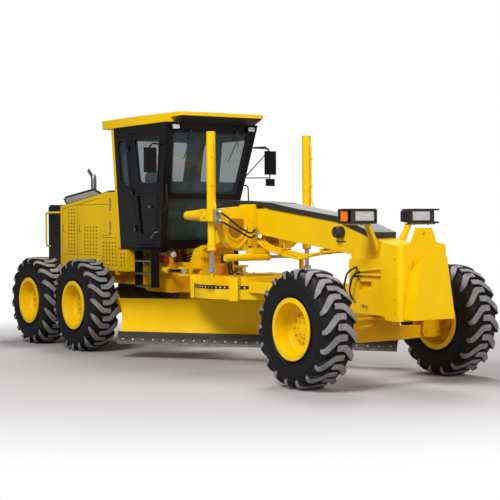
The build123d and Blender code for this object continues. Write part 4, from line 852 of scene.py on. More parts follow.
# %% [markdown]
# ## Handles, hinges, wipers and lamps
# The doors are hung at the rear edge on three hinges.  A round lock with a small paddle sits in the
# bar between the panes, and a short bent handle to pull by stands below it.

# %% Door furniture
def on_side(x, z, out):
    return np.array((x, cab_side_y(z) + out, z))


LOCK = [(0.0, 0.014), (0.016, 0.012), (0.022, 0.006), (0.022, 0.0)]
for side, word in ((1, "left"), (-1, "right")):
    lock = turned(LOCK, on_side(at(1.922), 2.105, 0.0), (0, 1, 0.1), 20)
    paddle = pipe(smooth_path([on_side(at(1.90), 2.12, 0.012), on_side(at(1.955), 2.085, 0.020)], 0.02),
                  0.006, 8)
    pull = pipe(smooth_path([on_side(at(2.095), 1.745, 0.0), on_side(at(2.09), 1.740, 0.040),
                             on_side(at(1.985), 1.680, 0.045), on_side(at(1.945), 1.625, 0.040),
                             on_side(at(1.940), 1.620, 0.0)], 0.02), 0.008)
    piece(f"door_handle_{word}", on_hand(side, lock, paddle, pull), steel, f"cab_door_{word}")

HINGES = (1.80, 2.33, 2.95)
hinge_leaf = [brick(at(1.438), at(1.492), cab_side_y(z) - 0.001, cab_side_y(z) + 0.007,
                    z - 0.045, z) for z in HINGES]
hinge_bolts = [bolts([on_side(at(1.455), z - dz, 0.006) for dz in (0.012, 0.034)], (0, 1, 0.1),
                     0.006) for z in HINGES]
piece("hinge_bolts", both_sides(*hinge_leaf, *hinge_bolts), steel, "rear_body")

# a sloping trim line behind the quarter window, and the pale strip up the rear corner
trim = pipe([on_side(at(1.02), 2.40, 0.004), on_side(at(1.44), 2.21, 0.004)], 0.010, 8)
lower_trim = pipe([on_side(at(1.00), 1.53, 0.004), on_side(at(2.10), 1.53, 0.004)], 0.009, 8)
piece("cab_trim", both_sides(trim, lower_trim), rail_black, "rear_body")
strip_z = np.linspace(1.52, 3.24, 12)
strip = np.stack([at(cab_lean(strip_z, 0.905, 1.035)) - 0.012, cab_side_y(strip_z) - 0.012, strip_z], 1)
piece("corner_strips", both_sides(pipe(strip, 0.017, 8)), yellow, "rear_body")
print("door furniture made")

# %% Wipers and corner lamps
def on_front(y, z, out):
    return np.array((cab_front_x(z) + out, y, z))


HUB = [(0.0, 0.038), (0.018, 0.034), (0.022, 0.018), (0.022, 0.0)]
parts = []
for y, low, high, lean in ((0.40, 2.73, 3.09, -0.07), (-0.36, 2.76, 3.09, -0.06)):
    parts.append(pipe([on_front(y, high, 0.030), on_front(y + 0.06, 2.95, 0.034)], 0.006, 8))
    parts.append(pipe([on_front(y + 0.05, high - 0.02, 0.020), on_front(y + lean, low, 0.020)], 0.007, 6))
    parts.append(turned(HUB, on_front(y, 3.145, 0.0), (1, 0, -0.28), 20))
    parts.append(pipe([on_front(y, 3.145, 0.032), on_front(y, 3.06, 0.034)], 0.006, 8))
piece("wipers", parts, black_plastic, "rear_body")

lamp_z = 3.195
lamp_face = rounded([(0.572, 3.165), (0.678, 3.165), (0.678, 3.225), (0.572, 3.225)], 0.012, 3)
lamp_x = cab_front_x(lamp_z) + 0.0555
piece("cab_lamps", both_sides(plate(lamp_face, lamp_x, lamp_x + 0.006, 0)), clear_lens,
      "rear_body", slot="chrome")
print("wipers and cab lamps made")

# %% [markdown]
# ## The roof's underside and edge
# The roof is a moulded cap.  Its underside is dark, and a dark visor hangs under the front edge to
# keep the low sun off the glass.

# %% Visor
flap = plate(ahead((2.60, 3.262), (2.855, 3.338), (2.855, 3.318), (2.66, 3.245)), -0.655, 0.655, 1)
piece("visor", [flap], rail_black, "rear_body", bevel=0.004)
print("cab trimmed")

# %% [markdown]
# ## The saddle and the lift cylinders
# The saddle is clamped round the beam, and a yoke reaches out from it on each side to carry a lift
# cylinder.  Two ribs in the shape of a U stiffen the yoke's front face, and the hollow inside them
# is covered by a thin plate of painted shade.  Each cylinder hangs in a gimbal, with a grey port block in
# front.

# %% Saddle ribs, pins and port blocks
SADDLE_X, CIRCLE_X, SHIFT_X = at(3.75), at(3.57), at(4.035)
LIFT_Y, GIMBAL_Z = 0.77, 1.97
# painted shade: a dark orange that stands for the shadow in hollows, used in the yoke, the nose's eye and the
# box
painted_shade = painted("shaded_paint", (0.42, 0.17, 0.004), dust=0.0, gloss=0.5)

# the yoke seen from the front: across the machine, and up
YOKE = [(-0.700, 2.050), (-0.662, 1.963), (-0.620, 1.764), (-0.561, 1.615), (-0.495, 1.545),
        (-0.413, 1.512), (-0.291, 1.611), (-0.214, 1.735), (-0.172, 1.861),
        (-0.172, 2.085), (-0.450, 2.075)]
RIB_OUT = [(-0.652, 1.985), (-0.618, 1.764), (-0.556, 1.615), (-0.485, 1.552), (-0.413, 1.535),
           (-0.300, 1.611), (-0.222, 1.735), (-0.190, 1.861), (-0.186, 1.985)]
RIB_IN = [(-0.575, 1.955), (-0.580, 1.739), (-0.528, 1.664), (-0.427, 1.625), (-0.336, 1.674),
          (-0.262, 1.799), (-0.245, 1.940)]
HOLLOW = [(-0.545, 1.925), (-0.548, 1.760), (-0.505, 1.690), (-0.427, 1.665), (-0.355, 1.700),
          (-0.315, 1.800), (-0.300, 1.925)]
YOKE_FRONT = SADDLE_X + 0.062


def across(points, radius):
    """A rib on the yoke's front face, along points given across the machine and up."""
    return pipe(smooth_path([(YOKE_FRONT, y, z) for y, z in points], 0.09, 6), radius, 10)


yoke = plate(rounded(YOKE, 0.05, 6), SADDLE_X - 0.045, YOKE_FRONT, 0)
WEB = [(-0.665, 2.03), (-0.64, 1.80), (-0.56, 1.60), (-0.47, 1.525), (-0.55, 1.70), (-0.60, 2.03)]
web = plate(rounded(WEB, 0.03, 6), SADDLE_X - 0.10, SADDLE_X + 0.02, 0)
# a thin plate of painted shade, laid in the yoke's hollow
hollow = plate(rounded(HOLLOW, 0.08, 6), YOKE_FRONT, YOKE_FRONT + 0.0015, 0)
piece("saddle_yoke", both_sides(yoke, web), yellow, "front_body", bevel=0.008)
piece("saddle_ribs", both_sides(across(RIB_OUT, 0.021), across(RIB_IN, 0.015)), yellow, "front_body")
piece("saddle_hollow_shade", both_sides(hollow), painted_shade, "front_body",
      slot="yellow")
plate_bolts = [(SADDLE_X + dx, -0.2302, z) for dx, z in ((-0.15, 2.03), (0.16, 2.03), (0.15, 1.57))]
piece("saddle_bolts", both_sides(bolts(plate_bolts, (0, -1, 0), 0.011)), yellow, "front_body")

# the walkway's rear end, over the saddle, and the cheek plates of the hitch
COVER = ahead((3.02, 2.079), (3.21, 2.158), (3.30, 2.166), (3.80, 2.152), (4.31, 2.1185), (4.18, 2.0525),
              (3.90, 2.1115), (3.60, 2.1115), (3.30, 2.090))
COVER_HALF = 0.185
piece("rear_walkway", [plate(COVER, -COVER_HALF, COVER_HALF, 1)], black_plastic, "front_body",
      slot="deck", bevel=0.006)
boards = [plate([(x0, z0 + 0.0005), (x1, z1 + 0.0005), (x1, z1 + 0.004), (x0, z0 + 0.004)],
                -COVER_HALF + 0.008, COVER_HALF - 0.008, 1) for (x0, z0),
          (x1, z1) in zip(COVER[1:4], COVER[2:5])]
piece("rear_walkway_top", boards, grey_deck, "front_body")
CHEEK = ahead((2.695, 1.498), (2.52, 1.498), (2.435, 1.36), (2.375, 1.20), (2.42, 1.03),
              (2.53, 0.885), (2.695, 0.885))
cheek = plate(rounded(CHEEK, 0.07, 5), 0.2605, 0.2825, 1)
piece("hitch_cheeks", both_sides(cheek), yellow, "front_body", bevel=0.004)

PORTS = (2.01, 1.90)
ports = [brick(SADDLE_X + 0.111, SADDLE_X + 0.150, -0.815, -0.725, 1.865, 2.045),
         *(rod((SADDLE_X + 0.150, -LIFT_Y, z), (SADDLE_X + 0.172, -LIFT_Y, z), 0.015, 12) for z in PORTS)]
piece("port_blocks", both_sides(*ports), steel, "front_body", bevel=0.004)
print("saddle made")

# %% Cylinder collars, oil pipes and rod seals
collars = []
for z, radius in ((3.036, 0.0615), (2.30, 0.0600), (1.592, 0.0605)):
    collars.append(turned([(radius - 0.012, -0.012), (radius, -0.009), (radius, 0.009),
                           (radius - 0.012, 0.012)], (SADDLE_X, -LIFT_Y, z), (0, 0, 1), 32, closed=True))
oil = smooth_path([(SADDLE_X + 0.13, -LIFT_Y - 0.02, 2.045), (SADDLE_X + 0.13, -LIFT_Y - 0.02, 2.10),
                   (SADDLE_X + 0.072, -LIFT_Y - 0.02, 2.18), (SADDLE_X + 0.072, -LIFT_Y - 0.02, 2.90),
                   (SADDLE_X + 0.045, -LIFT_Y - 0.01, 2.96)], 0.04)
clips = [brick(SADDLE_X + 0.02, SADDLE_X + 0.088, -LIFT_Y - 0.040, -LIFT_Y - 0.002, z, z + 0.022)
         for z in (2.35, 2.72)]
piece("cylinder_trim", both_sides(*collars, pipe(oil, 0.011, 10), *clips), yellow, "front_body")
wiper = turned([(0.0325, -0.006), (0.048, -0.006), (0.047, 0.001), (0.0325, 0.0025)],
               (SADDLE_X, -LIFT_Y, 1.503), (0, 0, -1), 32, closed=True)
piece("rod_seals", both_sides(wiper), seal_rubber, "front_body")

gimbal = [(SADDLE_X - 0.02 + dx, -0.8802, z) for dx in (-0.06, 0.06) for z in (1.92, 2.02)]
cap = turned([(0.0, 0.022), (0.030, 0.020), (0.040, 0.010), (0.040, 0.0)],
             (SADDLE_X, -0.880, GIMBAL_Z), (0, -1, 0), 28)
piece("gimbal_caps", both_sides(bolts(gimbal, (0, -1, 0), 0.011), cap), yellow, "front_body")
print("cylinders trimmed")

# %% [markdown]
# ## Oil lines along the beam
# Oil reaches the lift cylinders through hoses that run in behind the yoke.  Each hose is a pipe
# along a rounded path, with a steel collar where it enters its fitting.

# %% Hoses on the front frame
def hose(corners, radius=0.013, bend=0.10):
    """A hose along rounded corners, and the collars at its two ends."""
    path = smooth_path(corners, bend, 7)
    ends = [rod(tip, tip + 0.05 * unit(inward - tip), radius * 1.45, 12) for tip,
            inward in (path[:2], path[:-3:-1])]
    return pipe(path, radius, 10), ends


lines, collars = [], []
for k, port_z in enumerate(PORTS):
    cable, ends = hose([(SADDLE_X + 0.172, -LIFT_Y, port_z), (SADDLE_X + 0.25, -0.74, port_z - 0.03),
                        (SADDLE_X + 0.27, -0.50, 1.80 - 0.05 * k), (SADDLE_X + 0.22, -0.30, 1.72 - 0.06 * k),
                        (SADDLE_X + 0.20 + 0.03 * k, -0.20, 1.80 - 0.06 * k)])
    lines.append(cable)
    collars += ends
piece("lift_hoses", both_sides(*lines), seal_rubber, "front_body")
piece("lift_hose_ends", both_sides(*collars), steel, "front_body")

tubes = []
for k in range(3):
    y = -0.055 - 0.05 * k
    tubes.append(pipe(smooth_path([(at(3.90), y - 0.03, 1.66), (at(4.08), y, 1.55 - 0.01 * k),
                                   (at(4.45), y, 1.50 - 0.02 * k), (at(4.85), y, 1.445 - 0.02 * k),
                                   (at(5.25), y, 1.50), (at(5.62), y, 1.52)], 0.12, 7),
                      0.016 if k else 0.022, 10))
piece("neck_tubes", tubes, yellow, "front_body")
clamps = [brick(at(x) - 0.015, at(x) + 0.015, -0.19, -0.02, z - 0.035, z + 0.035) for x,
          z in ((4.45, 1.50), (5.30, 1.51))]
hangers = [brick(at(x) - 0.012, at(x) + 0.012, -0.12, -0.09, z, top) for x, z,
           top in ((4.45, 1.53, 1.68), (5.30, 1.54, 1.57))]
piece("tube_clamps", [*clamps, *hangers], yellow, "front_body", bevel=0.003)
print("front hoses and tubes made")

# %% Lock pins, shift cylinder's bands and lock holes
pins = [turned([(0.0, 0.014), (0.018, 0.012), (0.018, 0.0)], (SADDLE_X, y, 1.5895), (0, 0, 1), 20)
        for y in (-0.275, 0.275)]
bands = [turned([(0.0455, -0.02), (0.0485, -0.018), (0.0485, 0.018), (0.0455, 0.02)], (SHIFT_X, y, 1.42),
                (0, 1, 0), 32, closed=True) for y in (-0.72, -0.42, -0.085)]
piece("shift_trim", pins + bands, yellow, "front_body")
# painted shade: the lock bar's holes are dark discs
holes = [turned([(0.0, 0.0012), (0.021, 0.0012), (0.021, 0.0)], (SADDLE_X + 0.1302, y, 1.545), (1, 0, 0), 24)
         for y in np.linspace(-0.26, 0.26, 6)]
piece("lock_hole_shades", holes, hole_black, "front_body")
print("lock pins made:", len(pins))

# %% [markdown]
# ## Circle, drawbar and blade drive
# The big ring that turns the blade hangs under the drawbar.  Between the two runs is a gap, and
# the ring's bolt heads stand in it.  The gap's darkness is painted shade, and the heads are painted
# highlights: pale dots made by the ring's own material, which works out each point's height, radius
# and angle round the ring's axis.

# %% Ring paint
HEADS, HEAD_RADIUS, HEAD_Z = 72, 0.011, 1.036
RING_RADIUS, GAP_RADIUS, GAP_LOW, GAP_HIGH = 0.78, 0.765, 1.012, 1.060


def ring_paint():
    """A point's angle round the axis, counted in bolt spacings, tells how far it is from a head."""
    paint = Paint("ring_paint")
    place = paint.node("ShaderNodeSeparateXYZ", sockets={0: paint.where()}).socket.node
    x, y, z = (Wire(paint, place.outputs[i]) for i in range(3))
    x = x - CIRCLE_X
    radius = (x * x + y * y) ** 0.5
    # painted shade: the band between the two runs is darkened, standing for the shadow in the gap
    band = (radius > GAP_RADIUS) * (z > GAP_LOW) * (1.0 - (z > GAP_HIGH))
    turn = x.sum("ARCTAN2", y, x)
    part = turn.sum("FRACT", turn * (HEADS / (2 * math.pi)))
    beside, high = (part - 0.5) * (2 * math.pi * RING_RADIUS / HEADS), z - HEAD_Z
    # painted highlights: pale dots on the bolt heads stand for the glints they catch
    head = (1.0 - ((beside * beside + high * high) ** 0.5 > HEAD_RADIUS)) * band
    broad, fine = paint.noise(1.7, 4.0), paint.noise(38.0, 2.0)
    shade = paint.mix(paint.span(broad, 0.32, 0.68), tinge(YELLOW, 0.9), YELLOW)
    shade = paint.mix(head, paint.mix(band, shade, (0.035, 0.018, 0.008)), (0.80, 0.62, 0.30))
    peel = paint.bump(paint.noise(240.0, 1.0), 0.1, 0.0006, paint.soft_edges(0.006))
    return paint.shade(Base_Color=shade, Roughness=paint.span(fine, 0.3, 0.7, 0.30, 0.42),
                       Specular_IOR_Level=0.25, Coat_Weight=0.08, Normal=peel)


dress("circle", ring_paint())
print("bolt heads painted on the ring:", HEADS)

# %% Gearbox and motor that turn the ring
DRIVE_X, DRIVE_Y, TABLE_TOP = at(3.30), -0.300, 1.1703
# painted shade: the gearbox's dark orange stands for the shade it sits in under the drawbar
orange = painted("drive_paint", (0.62, 0.20, 0.006), dust=0.02, gloss=0.42)
foot = brick(DRIVE_X - 0.100, DRIVE_X + 0.110, DRIVE_Y - 0.100, DRIVE_Y + 0.100,
             TABLE_TOP, TABLE_TOP + 0.020)
box = plate(rounded([(DRIVE_X - 0.092, DRIVE_Y - 0.092), (DRIVE_X + 0.102, DRIVE_Y - 0.092),
                     (DRIVE_X + 0.102, DRIVE_Y + 0.092), (DRIVE_X - 0.092, DRIVE_Y + 0.092)], 0.03),
            TABLE_TOP + 0.02, TABLE_TOP + 0.118, 2)
spigot = turned([(0.070, 0.0), (0.070, 0.018), (0.062, 0.024), (0.062, 0.040)],
                (DRIVE_X + 0.04, DRIVE_Y, TABLE_TOP + 0.118), (0, 0, 1), 32)
feet = [(DRIVE_X + dx, DRIVE_Y + dy, TABLE_TOP + 0.020) for dx in (-0.096, 0.106) for dy in (-0.094, 0.094)]
piece("circle_gearbox", [foot, box, spigot, bolts(feet, (0, 0, 1), 0.009)], orange, "drawbar",
      replaces=("circle_drive",), bevel=0.004)
motor = turned([(0.058, 0.0), (0.061, 0.01), (0.061, 0.060), (0.054, 0.066), (0.054, 0.092), (0.059, 0.096),
                (0.059, 0.108), (0.040, 0.1125), (0.0, 0.1125)],
               (DRIVE_X + 0.04, DRIVE_Y, TABLE_TOP + 0.157), (0, 0, 1), 32)
port = [rod((DRIVE_X + 0.09, DRIVE_Y + dy, TABLE_TOP + 0.17),
            (DRIVE_X + 0.112, DRIVE_Y + dy, TABLE_TOP + 0.17), 0.014, 12) for dy in (-0.022, 0.022)]
piece("circle_motor", [motor, *port], black_plastic, "drawbar", slot="dark_steel")
drive_lines, drive_ends = [], []
for dy, reach in ((-0.022, 0.10), (0.022, 0.15)):
    cable, ends = hose([(DRIVE_X + 0.112, DRIVE_Y + dy, TABLE_TOP + 0.17),
                        (DRIVE_X + 0.165, DRIVE_Y + dy, TABLE_TOP + 0.165),
                        (DRIVE_X + 0.175, DRIVE_Y + dy, TABLE_TOP + 0.07),
                        (DRIVE_X + 0.21, DRIVE_Y + dy * 1.6, TABLE_TOP + 0.022),
                        (DRIVE_X + 0.26 + reach, DRIVE_Y + dy * 1.6, TABLE_TOP + 0.018)], 0.012, 0.06)
    drive_lines.append(cable)
    drive_ends += ends
piece("drive_hoses", drive_lines, seal_rubber, "drawbar")
piece("drive_hose_ends", drive_ends, steel, "drawbar")
print("ring drive made")

# %% Bolts on the drawbar and on the balls' caps
table = [(CIRCLE_X + x, side * y, TABLE_TOP) for side in (-1, 1)
         for x, y in ((-0.50, 0.36), (-0.33, 0.54), (-0.05, 0.545), (0.35, 0.54), (0.50, 0.46))]
piece("drawbar_bolts", [bolts(table, (0, 0, 1), 0.013)], yellow, "drawbar")
for side, word in ((-1, "right"), (1, "left")):
    rows = [(SADDLE_X + 0.045 * math.cos(a), side * LIFT_Y + 0.045 * math.sin(a), 1.2755)
            for a in np.arange(6) * math.pi / 3]
    piece(f"ball_bolts_{word}", [bolts(rows, (0, 0, 1), 0.006)], dark_steel, f"lift_rod_{word}")
print("bolts on the drawbar:", len(table))

# %% [markdown]
# ## Blade
# The curved mouldboard carries a separate hard edge, bolted on in sections, so that worn lengths can
# be changed one by one.  The bolts have flat round heads, worn bright by the soil.

# %% Edge bolts and section joints
BLADE_TURN, BLADE_HALF = math.radians(-53.9), 1.9825


def on_blade(out, along, z):
    """A place given in the blade's own directions: out from its face, along it, and up."""
    c, s = math.cos(BLADE_TURN), math.sin(BLADE_TURN)
    return np.array((CIRCLE_X + c * out - s * along, s * out + c * along, z))


def edge_face(z):
    """The edge's front face, from 62 mm out at 0.29 m high to 92 mm at 0.20 m."""
    return 0.062 + (0.29 - z) / 0.09 * 0.030


facing = on_blade(1, 0, 0) - on_blade(0, 0, 0) + np.array((0, 0, 0.33))
heads = [on_blade(edge_face(0.262), y, 0.262)
         for y in np.linspace(-BLADE_HALF + 0.08, BLADE_HALF - 0.08, 26)]
flat_heads = [turned([(0.014, 0.0), (0.014, 0.003), (0.009, 0.006), (0.0, 0.006)], place, facing,
                     10) for place in heads]
piece("edge_bolts", flat_heads, steel, "blade")
joints = []
for y in (-1.52, -0.61, 0.30, 1.21, 1.60):
    low, high = on_blade(edge_face(0.202) + 0.0008, y, 0.202), on_blade(edge_face(0.288) + 0.0008, y, 0.288)
    side = on_blade(0, 0.002, 0) - on_blade(0, 0, 0)
    joints.append((np.array([low - side, low + side, high + side, high - side]), [(0, 1, 2, 3)]))
piece("edge_joints", joints, hole_black, "blade", smooth=0)
print("middle dressed")

# %% [markdown]
# ## Headlamps
# Two lamp clusters stand on brackets over the nose.  Each holds a ribbed clear lens with a bright
# reflector behind it, then a dark divider and an amber turn lamp at the outer end.  A black hood
# goes round the front edge like a C, open at the outer side.  The brackets are painted with the
# beam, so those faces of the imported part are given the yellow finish.

# %% Brackets in yellow, the lamps in black
LAMP_X = FRONT_X + 0.16
LAMP_FRONT = LAMP_X + 0.09
dress("headlamps", black_plastic)


def on_bracket(middle, normal):
    return middle.z < 1.852 and abs(middle.x - LAMP_X + 0.01) < 0.06


repaint("headlamps", yellow, on_bracket)
print("lamp brackets painted")

# %% Reflectors, lenses and hoods
def lamp_outline(inset, radius):
    """The lamp's face, across and up, drawn in by an inset from its rim."""
    y0, y1, z0, z1 = 0.283 + inset, 0.572 - inset, 1.878 + inset, 1.997 - inset
    return rounded([(y0, z0), (y1, z0), (y1, z1), (y0, z1)], radius)


reflector = plate(lamp_outline(0.004, 0.02), LAMP_X + 0.0823, LAMP_X + 0.0832, 0)


def domed(y0, y1, z0, z1, x, rise, count):
    """A lens face: a grid that swells by rise * (1 - u^4) * (1 - v^4) and is flat round its edge."""
    u, v = np.meshgrid(np.linspace(-1, 1, count), np.linspace(-1, 1, count), indexing="ij")
    swell = rise * (1 - u ** 4) * (1 - v ** 4)
    front = np.stack([x + swell, (y0 + y1) / 2 + u * (y1 - y0) / 2, (z0 + z1) / 2 + v * (z1 - z0) / 2], -1)
    back = front.copy()
    back[..., 0] = x - 0.004
    faces = grid_faces(count, count)
    edge = [i * count for i in range(count - 1)] + [(count - 1) * count + j for j in range(count - 1)]
    edge += [i * count + count - 1 for i in range(count - 1, 0, -1)] + list(range(count - 1, 0, -1))
    size = count * count
    skirt = [(a, b, b + size, a + size) for a, b in zip(edge, edge[1:] + edge[:1])]
    points = np.concatenate([front.reshape(-1, 3), back.reshape(-1, 3)])
    return points, faces + renumbered([face[::-1] for face in faces], size) + skirt


bright = plated("reflector", (0.92, 0.93, 0.94), 0.10, 0.05)
piece("reflectors", both_sides(reflector), bright, "front_body")
piece("headlamp_lenses", both_sides(domed(0.290, 0.565, 1.885, 1.990, LAMP_X + 0.0875, 0.006, 13)),
      clear_lens, "front_body")
amber = plate(rounded([(LAMP_X - 0.026, 0.634), (LAMP_X + 0.052, 0.634), (LAMP_X + 0.052, 0.672),
                       (LAMP_X + 0.010, 0.694), (LAMP_X - 0.026, 0.694)], 0.016), 1.878, 1.994, 2)
piece("turn_lamps", both_sides(amber), amber_lens, "front_body", bevel=0.004)
rim_line = np.array([(LAMP_FRONT, y, z) for y, z in lamp_outline(0.0, 0.024)])
hoods = [loop_pipe(rim_line, 0.006)]
for z0, z1 in ((1.848, 1.862), (2.008, 2.0215)):
    hoods.append(plate(rounded([(LAMP_X + 0.02, 0.262), (LAMP_X + 0.112, 0.268), (LAMP_X + 0.112, 0.700),
                                (LAMP_X + 0.070, 0.7165), (LAMP_X + 0.02, 0.7165)], 0.022), z0, z1, 2))
hoods.append(plate(rounded([(LAMP_X + 0.02, 0.262), (LAMP_X + 0.112, 0.262), (LAMP_X + 0.112, 0.276),
                            (LAMP_X + 0.02, 0.276)], 0.004), 1.855, 2.014, 2))
hoods.append(brick(LAMP_X - 0.02, LAMP_X + 0.0905, 0.598, 0.630, 1.872, 2.000))
ribs = [brick(LAMP_X - 0.055, LAMP_X + 0.075, 0.2535, 0.2615, z, z + 0.006)
        for z in np.arange(1.885, 1.99, 0.016)]
piece("lamp_hoods", both_sides(*hoods, *ribs), black_plastic, "front_body", bevel=0.003)
clips = bolts([(LAMP_X - 0.01, y, 1.8348) for y in (0.40, 0.62)], (0, 0, -1), 0.009)
piece("lamp_bolts", both_sides(clips), dark_steel, "front_body")
print("head lamps made")

# %% Work lamps on the beam
WORK = np.array((at(5.70), BEAM_SIDE + 0.09, 1.75))
bezel = turned([(0.0, 0.012), (0.058, 0.012), (0.066, 0.008), (0.0705, 0.0), (0.0725, -0.030),
                (0.0705, -0.034)], WORK, (0, 1, 0), 36)
tab = brick(WORK[0] - 0.018, WORK[0] + 0.018, BEAM_SIDE, BEAM_SIDE + 0.030, 1.640, 1.700)
piece("work_lamps", both_sides(bezel), black_plastic, "front_body")
piece("work_lamp_tabs", both_sides(tab), yellow, "front_body", bevel=0.003)
print("work lamps made")

# %% [markdown]
# ## Nose, push block and beam
# The nose is a thick folded plate with its corners rolled.  It is held by a row of bolts up each
# side, and the push block in front takes the load when another machine pushes from ahead.

# %% Nose bolts, the eye's ring and welds
NOSE_SIDE = 0.3602
side_row = [(at(6.885), -NOSE_SIDE, z) for z in (1.463, 1.237, 1.017, 0.858)]
piece("nose_bolts", both_sides(bolts(side_row, (0, -1, 0), 0.012)), yellow, "front_body")
eye = turned([(0.013, -0.009), (0.0315, -0.009), (0.0315, 0.009), (0.024, 0.0105), (0.013, 0.0105)],
             (at(6.96), 0, 1.735), (1, 0, 0), 32, closed=True)
# painted shade: a dark orange disc closes the eye, standing for the shadow inside it
back = turned([(0.0, 0.0), (0.0315, 0.0), (0.0315, 0.004), (0.0, 0.004)],
              (at(6.947), 0, 1.735), (1, 0, 0), 32)
piece("nose_eye", [eye], yellow, "front_body")
piece("nose_eye_shade", [back], painted_shade, "front_body")
welds = [pipe([(at(6.9705), side * 0.3005, 0.79), (at(6.9705), side * 0.1815, 1.465)], 0.006,
              6) for side in (-1, 1)]
welds += [pipe([(at(6.82), -0.36, 0.7605), (at(6.94), -0.36, 0.7605)], 0.004, 6)]
piece("nose_welds", welds, yellow, "front_body")

# oil tubes and fittings low on the box's sides
BOX_SIDE = 0.2602
TUBE_HEIGHTS = ((1.300, 1.312, 1.338), (1.262, 1.262, 1.258))
tubes = [pipe(smooth_path([(at(6.16), -BOX_SIDE - 0.03, z0), (at(6.30), -BOX_SIDE - 0.025, z1),
                           (at(6.60), -BOX_SIDE - 0.025, z2), (at(6.66), -BOX_SIDE - 0.02, z2),
                           (at(6.66), -BOX_SIDE + 0.01, z2)], 0.03), 0.0105, 8) for z0,
         z1, z2 in TUBE_HEIGHTS]
piece("box_tubes", both_sides(*tubes), yellow, "front_body")
fittings, couplers = [], []
for x, z in ((6.10, 1.335), (6.15, 1.285), (6.12, 1.235)):
    fittings.append(rod((at(x), -BOX_SIDE, z), (at(x), -BOX_SIDE - 0.05, z), 0.016, 6))
    couplers.append(rod((at(x), -BOX_SIDE - 0.045, z),
                        (at(x) + 0.05, -BOX_SIDE - 0.045, z + 0.01), 0.014, 12))
for x, z in ((5.99, 0.985), (6.07, 0.955), (6.22, 0.905), (6.28, 0.895)):
    fittings.append(rod((at(x), -BOX_SIDE, z), (at(x), -BOX_SIDE - 0.035, z), 0.014, 6))
piece("box_fittings", both_sides(*fittings), steel, "front_body")
piece("box_couplers", both_sides(*couplers), black_plastic, "front_body", slot="dark_steel")
box_hoses = []
for x0, z0, x1, z1, drop in ((6.10, 1.335, 6.00, 0.985, 0.10), (6.15, 1.285, 6.07, 0.955, 0.05)):
    run = [(at(x0), -BOX_SIDE - 0.045, z0), (at(x0) - drop, -BOX_SIDE - 0.075, z0 - 0.06),
           (at(x1) - drop * 0.6, -BOX_SIDE - 0.075, z1 + 0.10), (at(x1), -BOX_SIDE - 0.03, z1)]
    box_hoses.append(pipe(smooth_path(run, 0.08, 7), 0.011, 9))
piece("box_hoses", both_sides(*box_hoses), seal_rubber, "front_body")

# painted shade for a slot on the beam's side and for the box's hollow, a weld line, and bolts along the
# walkway cover
slot_line = rounded(ahead((5.60, 1.630), (5.78, 1.628), (5.78, 1.644), (5.60, 1.646)), 0.007)
piece("beam_slot_shade", both_sides(plate(slot_line, BEAM_SIDE, BEAM_SIDE + 0.0012, 1)), hole_black,
      "front_body", smooth=0)
hollow = brick(3.36, 3.58, 0.150, 0.152, 1.06, 1.22)
piece("box_hollow_shade", both_sides(hollow), painted_shade, "front_body", smooth=0)
t = np.linspace(-0.9, 1.2, 15)
curve = np.stack([at(5.66) + 0.105 * np.cos(t), np.full(len(t), -BEAM_SIDE - 0.001),
                  1.80 + 0.095 * np.sin(t)], 1)
piece("beam_welds", both_sides(pipe(curve, 0.005, 6)), yellow, "front_body")
cover_line = np.array(ahead((4.35, 2.078), (4.95, 2.018), (5.60, 1.916), (5.88, 1.836), (6.20, 1.738)))
spots = [(x, -0.1855, np.interp(x, *cover_line.T)) for x in np.linspace(at(4.45), at(6.16), 8)]
piece("cover_bolts", both_sides(bolts(spots, (0, -1, 0), 0.008)), dark_steel, "front_body")
print("nose dressed")

# %% [markdown]
# ## Cab fittings
# Inside the cab a padded seat stands behind the steering column.  Its cushion and back are soft
# blocks whose sides swell a little: each is a sphere's grid pushed out towards a box, by taking
# a small power of the sine and cosine.

# %% Seat, dash and levers
SEAT_X = at(1.33)
SQUARENESS, ROWS, COLUMNS = 0.34, 15, 28


def soft_block(centre, half):
    """x = a c(u) c(v), y = b c(u) s(v), z = h s(u), with c(t) = sign(cos t) |cos t| ** SQUARENESS."""
    u = np.linspace(-math.pi / 2, math.pi / 2, ROWS)[:, None]
    v = np.linspace(-math.pi, math.pi, COLUMNS, endpoint=False)[None, :]
    cu, su, cv, sv = (np.sign(t) * np.abs(t) ** SQUARENESS
                      for t in (np.cos(u), np.sin(u), np.cos(v), np.sin(v)))
    points = np.stack([cu * cv, cu * sv, su + 0 * v], -1) * np.asarray(half) + np.asarray(centre)
    return points.reshape(-1, 3), grid_faces(ROWS, COLUMNS, False, True)


def leaned(part, centre, degrees):
    """The same points, turned in the X-Z plane round a centre."""
    points, faces = part
    c, s = math.cos(math.radians(degrees)), math.sin(math.radians(degrees))
    x, y, z = (points - centre).T
    return np.stack([s * z + c * x, y, c * z - s * x], 1) + centre, faces


hips, back_foot = (SEAT_X + 0.03, 0, 1.965), (SEAT_X - 0.19, 0, 2.02)
cushion = piece("seat_cushion", [soft_block(hips, (0.245, 0.245, 0.062))], seat_cloth, "rear_body",
                smooth=60, replaces=("seat",))
upright = leaned(soft_block((SEAT_X - 0.175, 0, 2.335), (0.055, 0.225, 0.315)), back_foot, -8)
back = piece("seat_back", [upright], seat_cloth, "rear_body", smooth=60)
base = [turned([(0.13, 0.0), (0.13, 0.02), (0.10, 0.05), (0.09, 0.32), (0.14, 0.345), (0.14, 0.36)],
               (SEAT_X + 0.02, 0, 1.5402), (0, 0, 1), 32),
        brick(SEAT_X - 0.20, SEAT_X + 0.26, -0.235, 0.235, 1.898, 1.916)]
arms = [pipe(smooth_path([(SEAT_X - 0.18, side * 0.262, 1.93), (SEAT_X - 0.19, side * 0.262, 2.16),
                          (SEAT_X + 0.12, side * 0.262, 2.17)], 0.05), 0.017, 10) for side in (-1, 1)]
piece("seat_frame", base + arms, black_plastic, "rear_body")

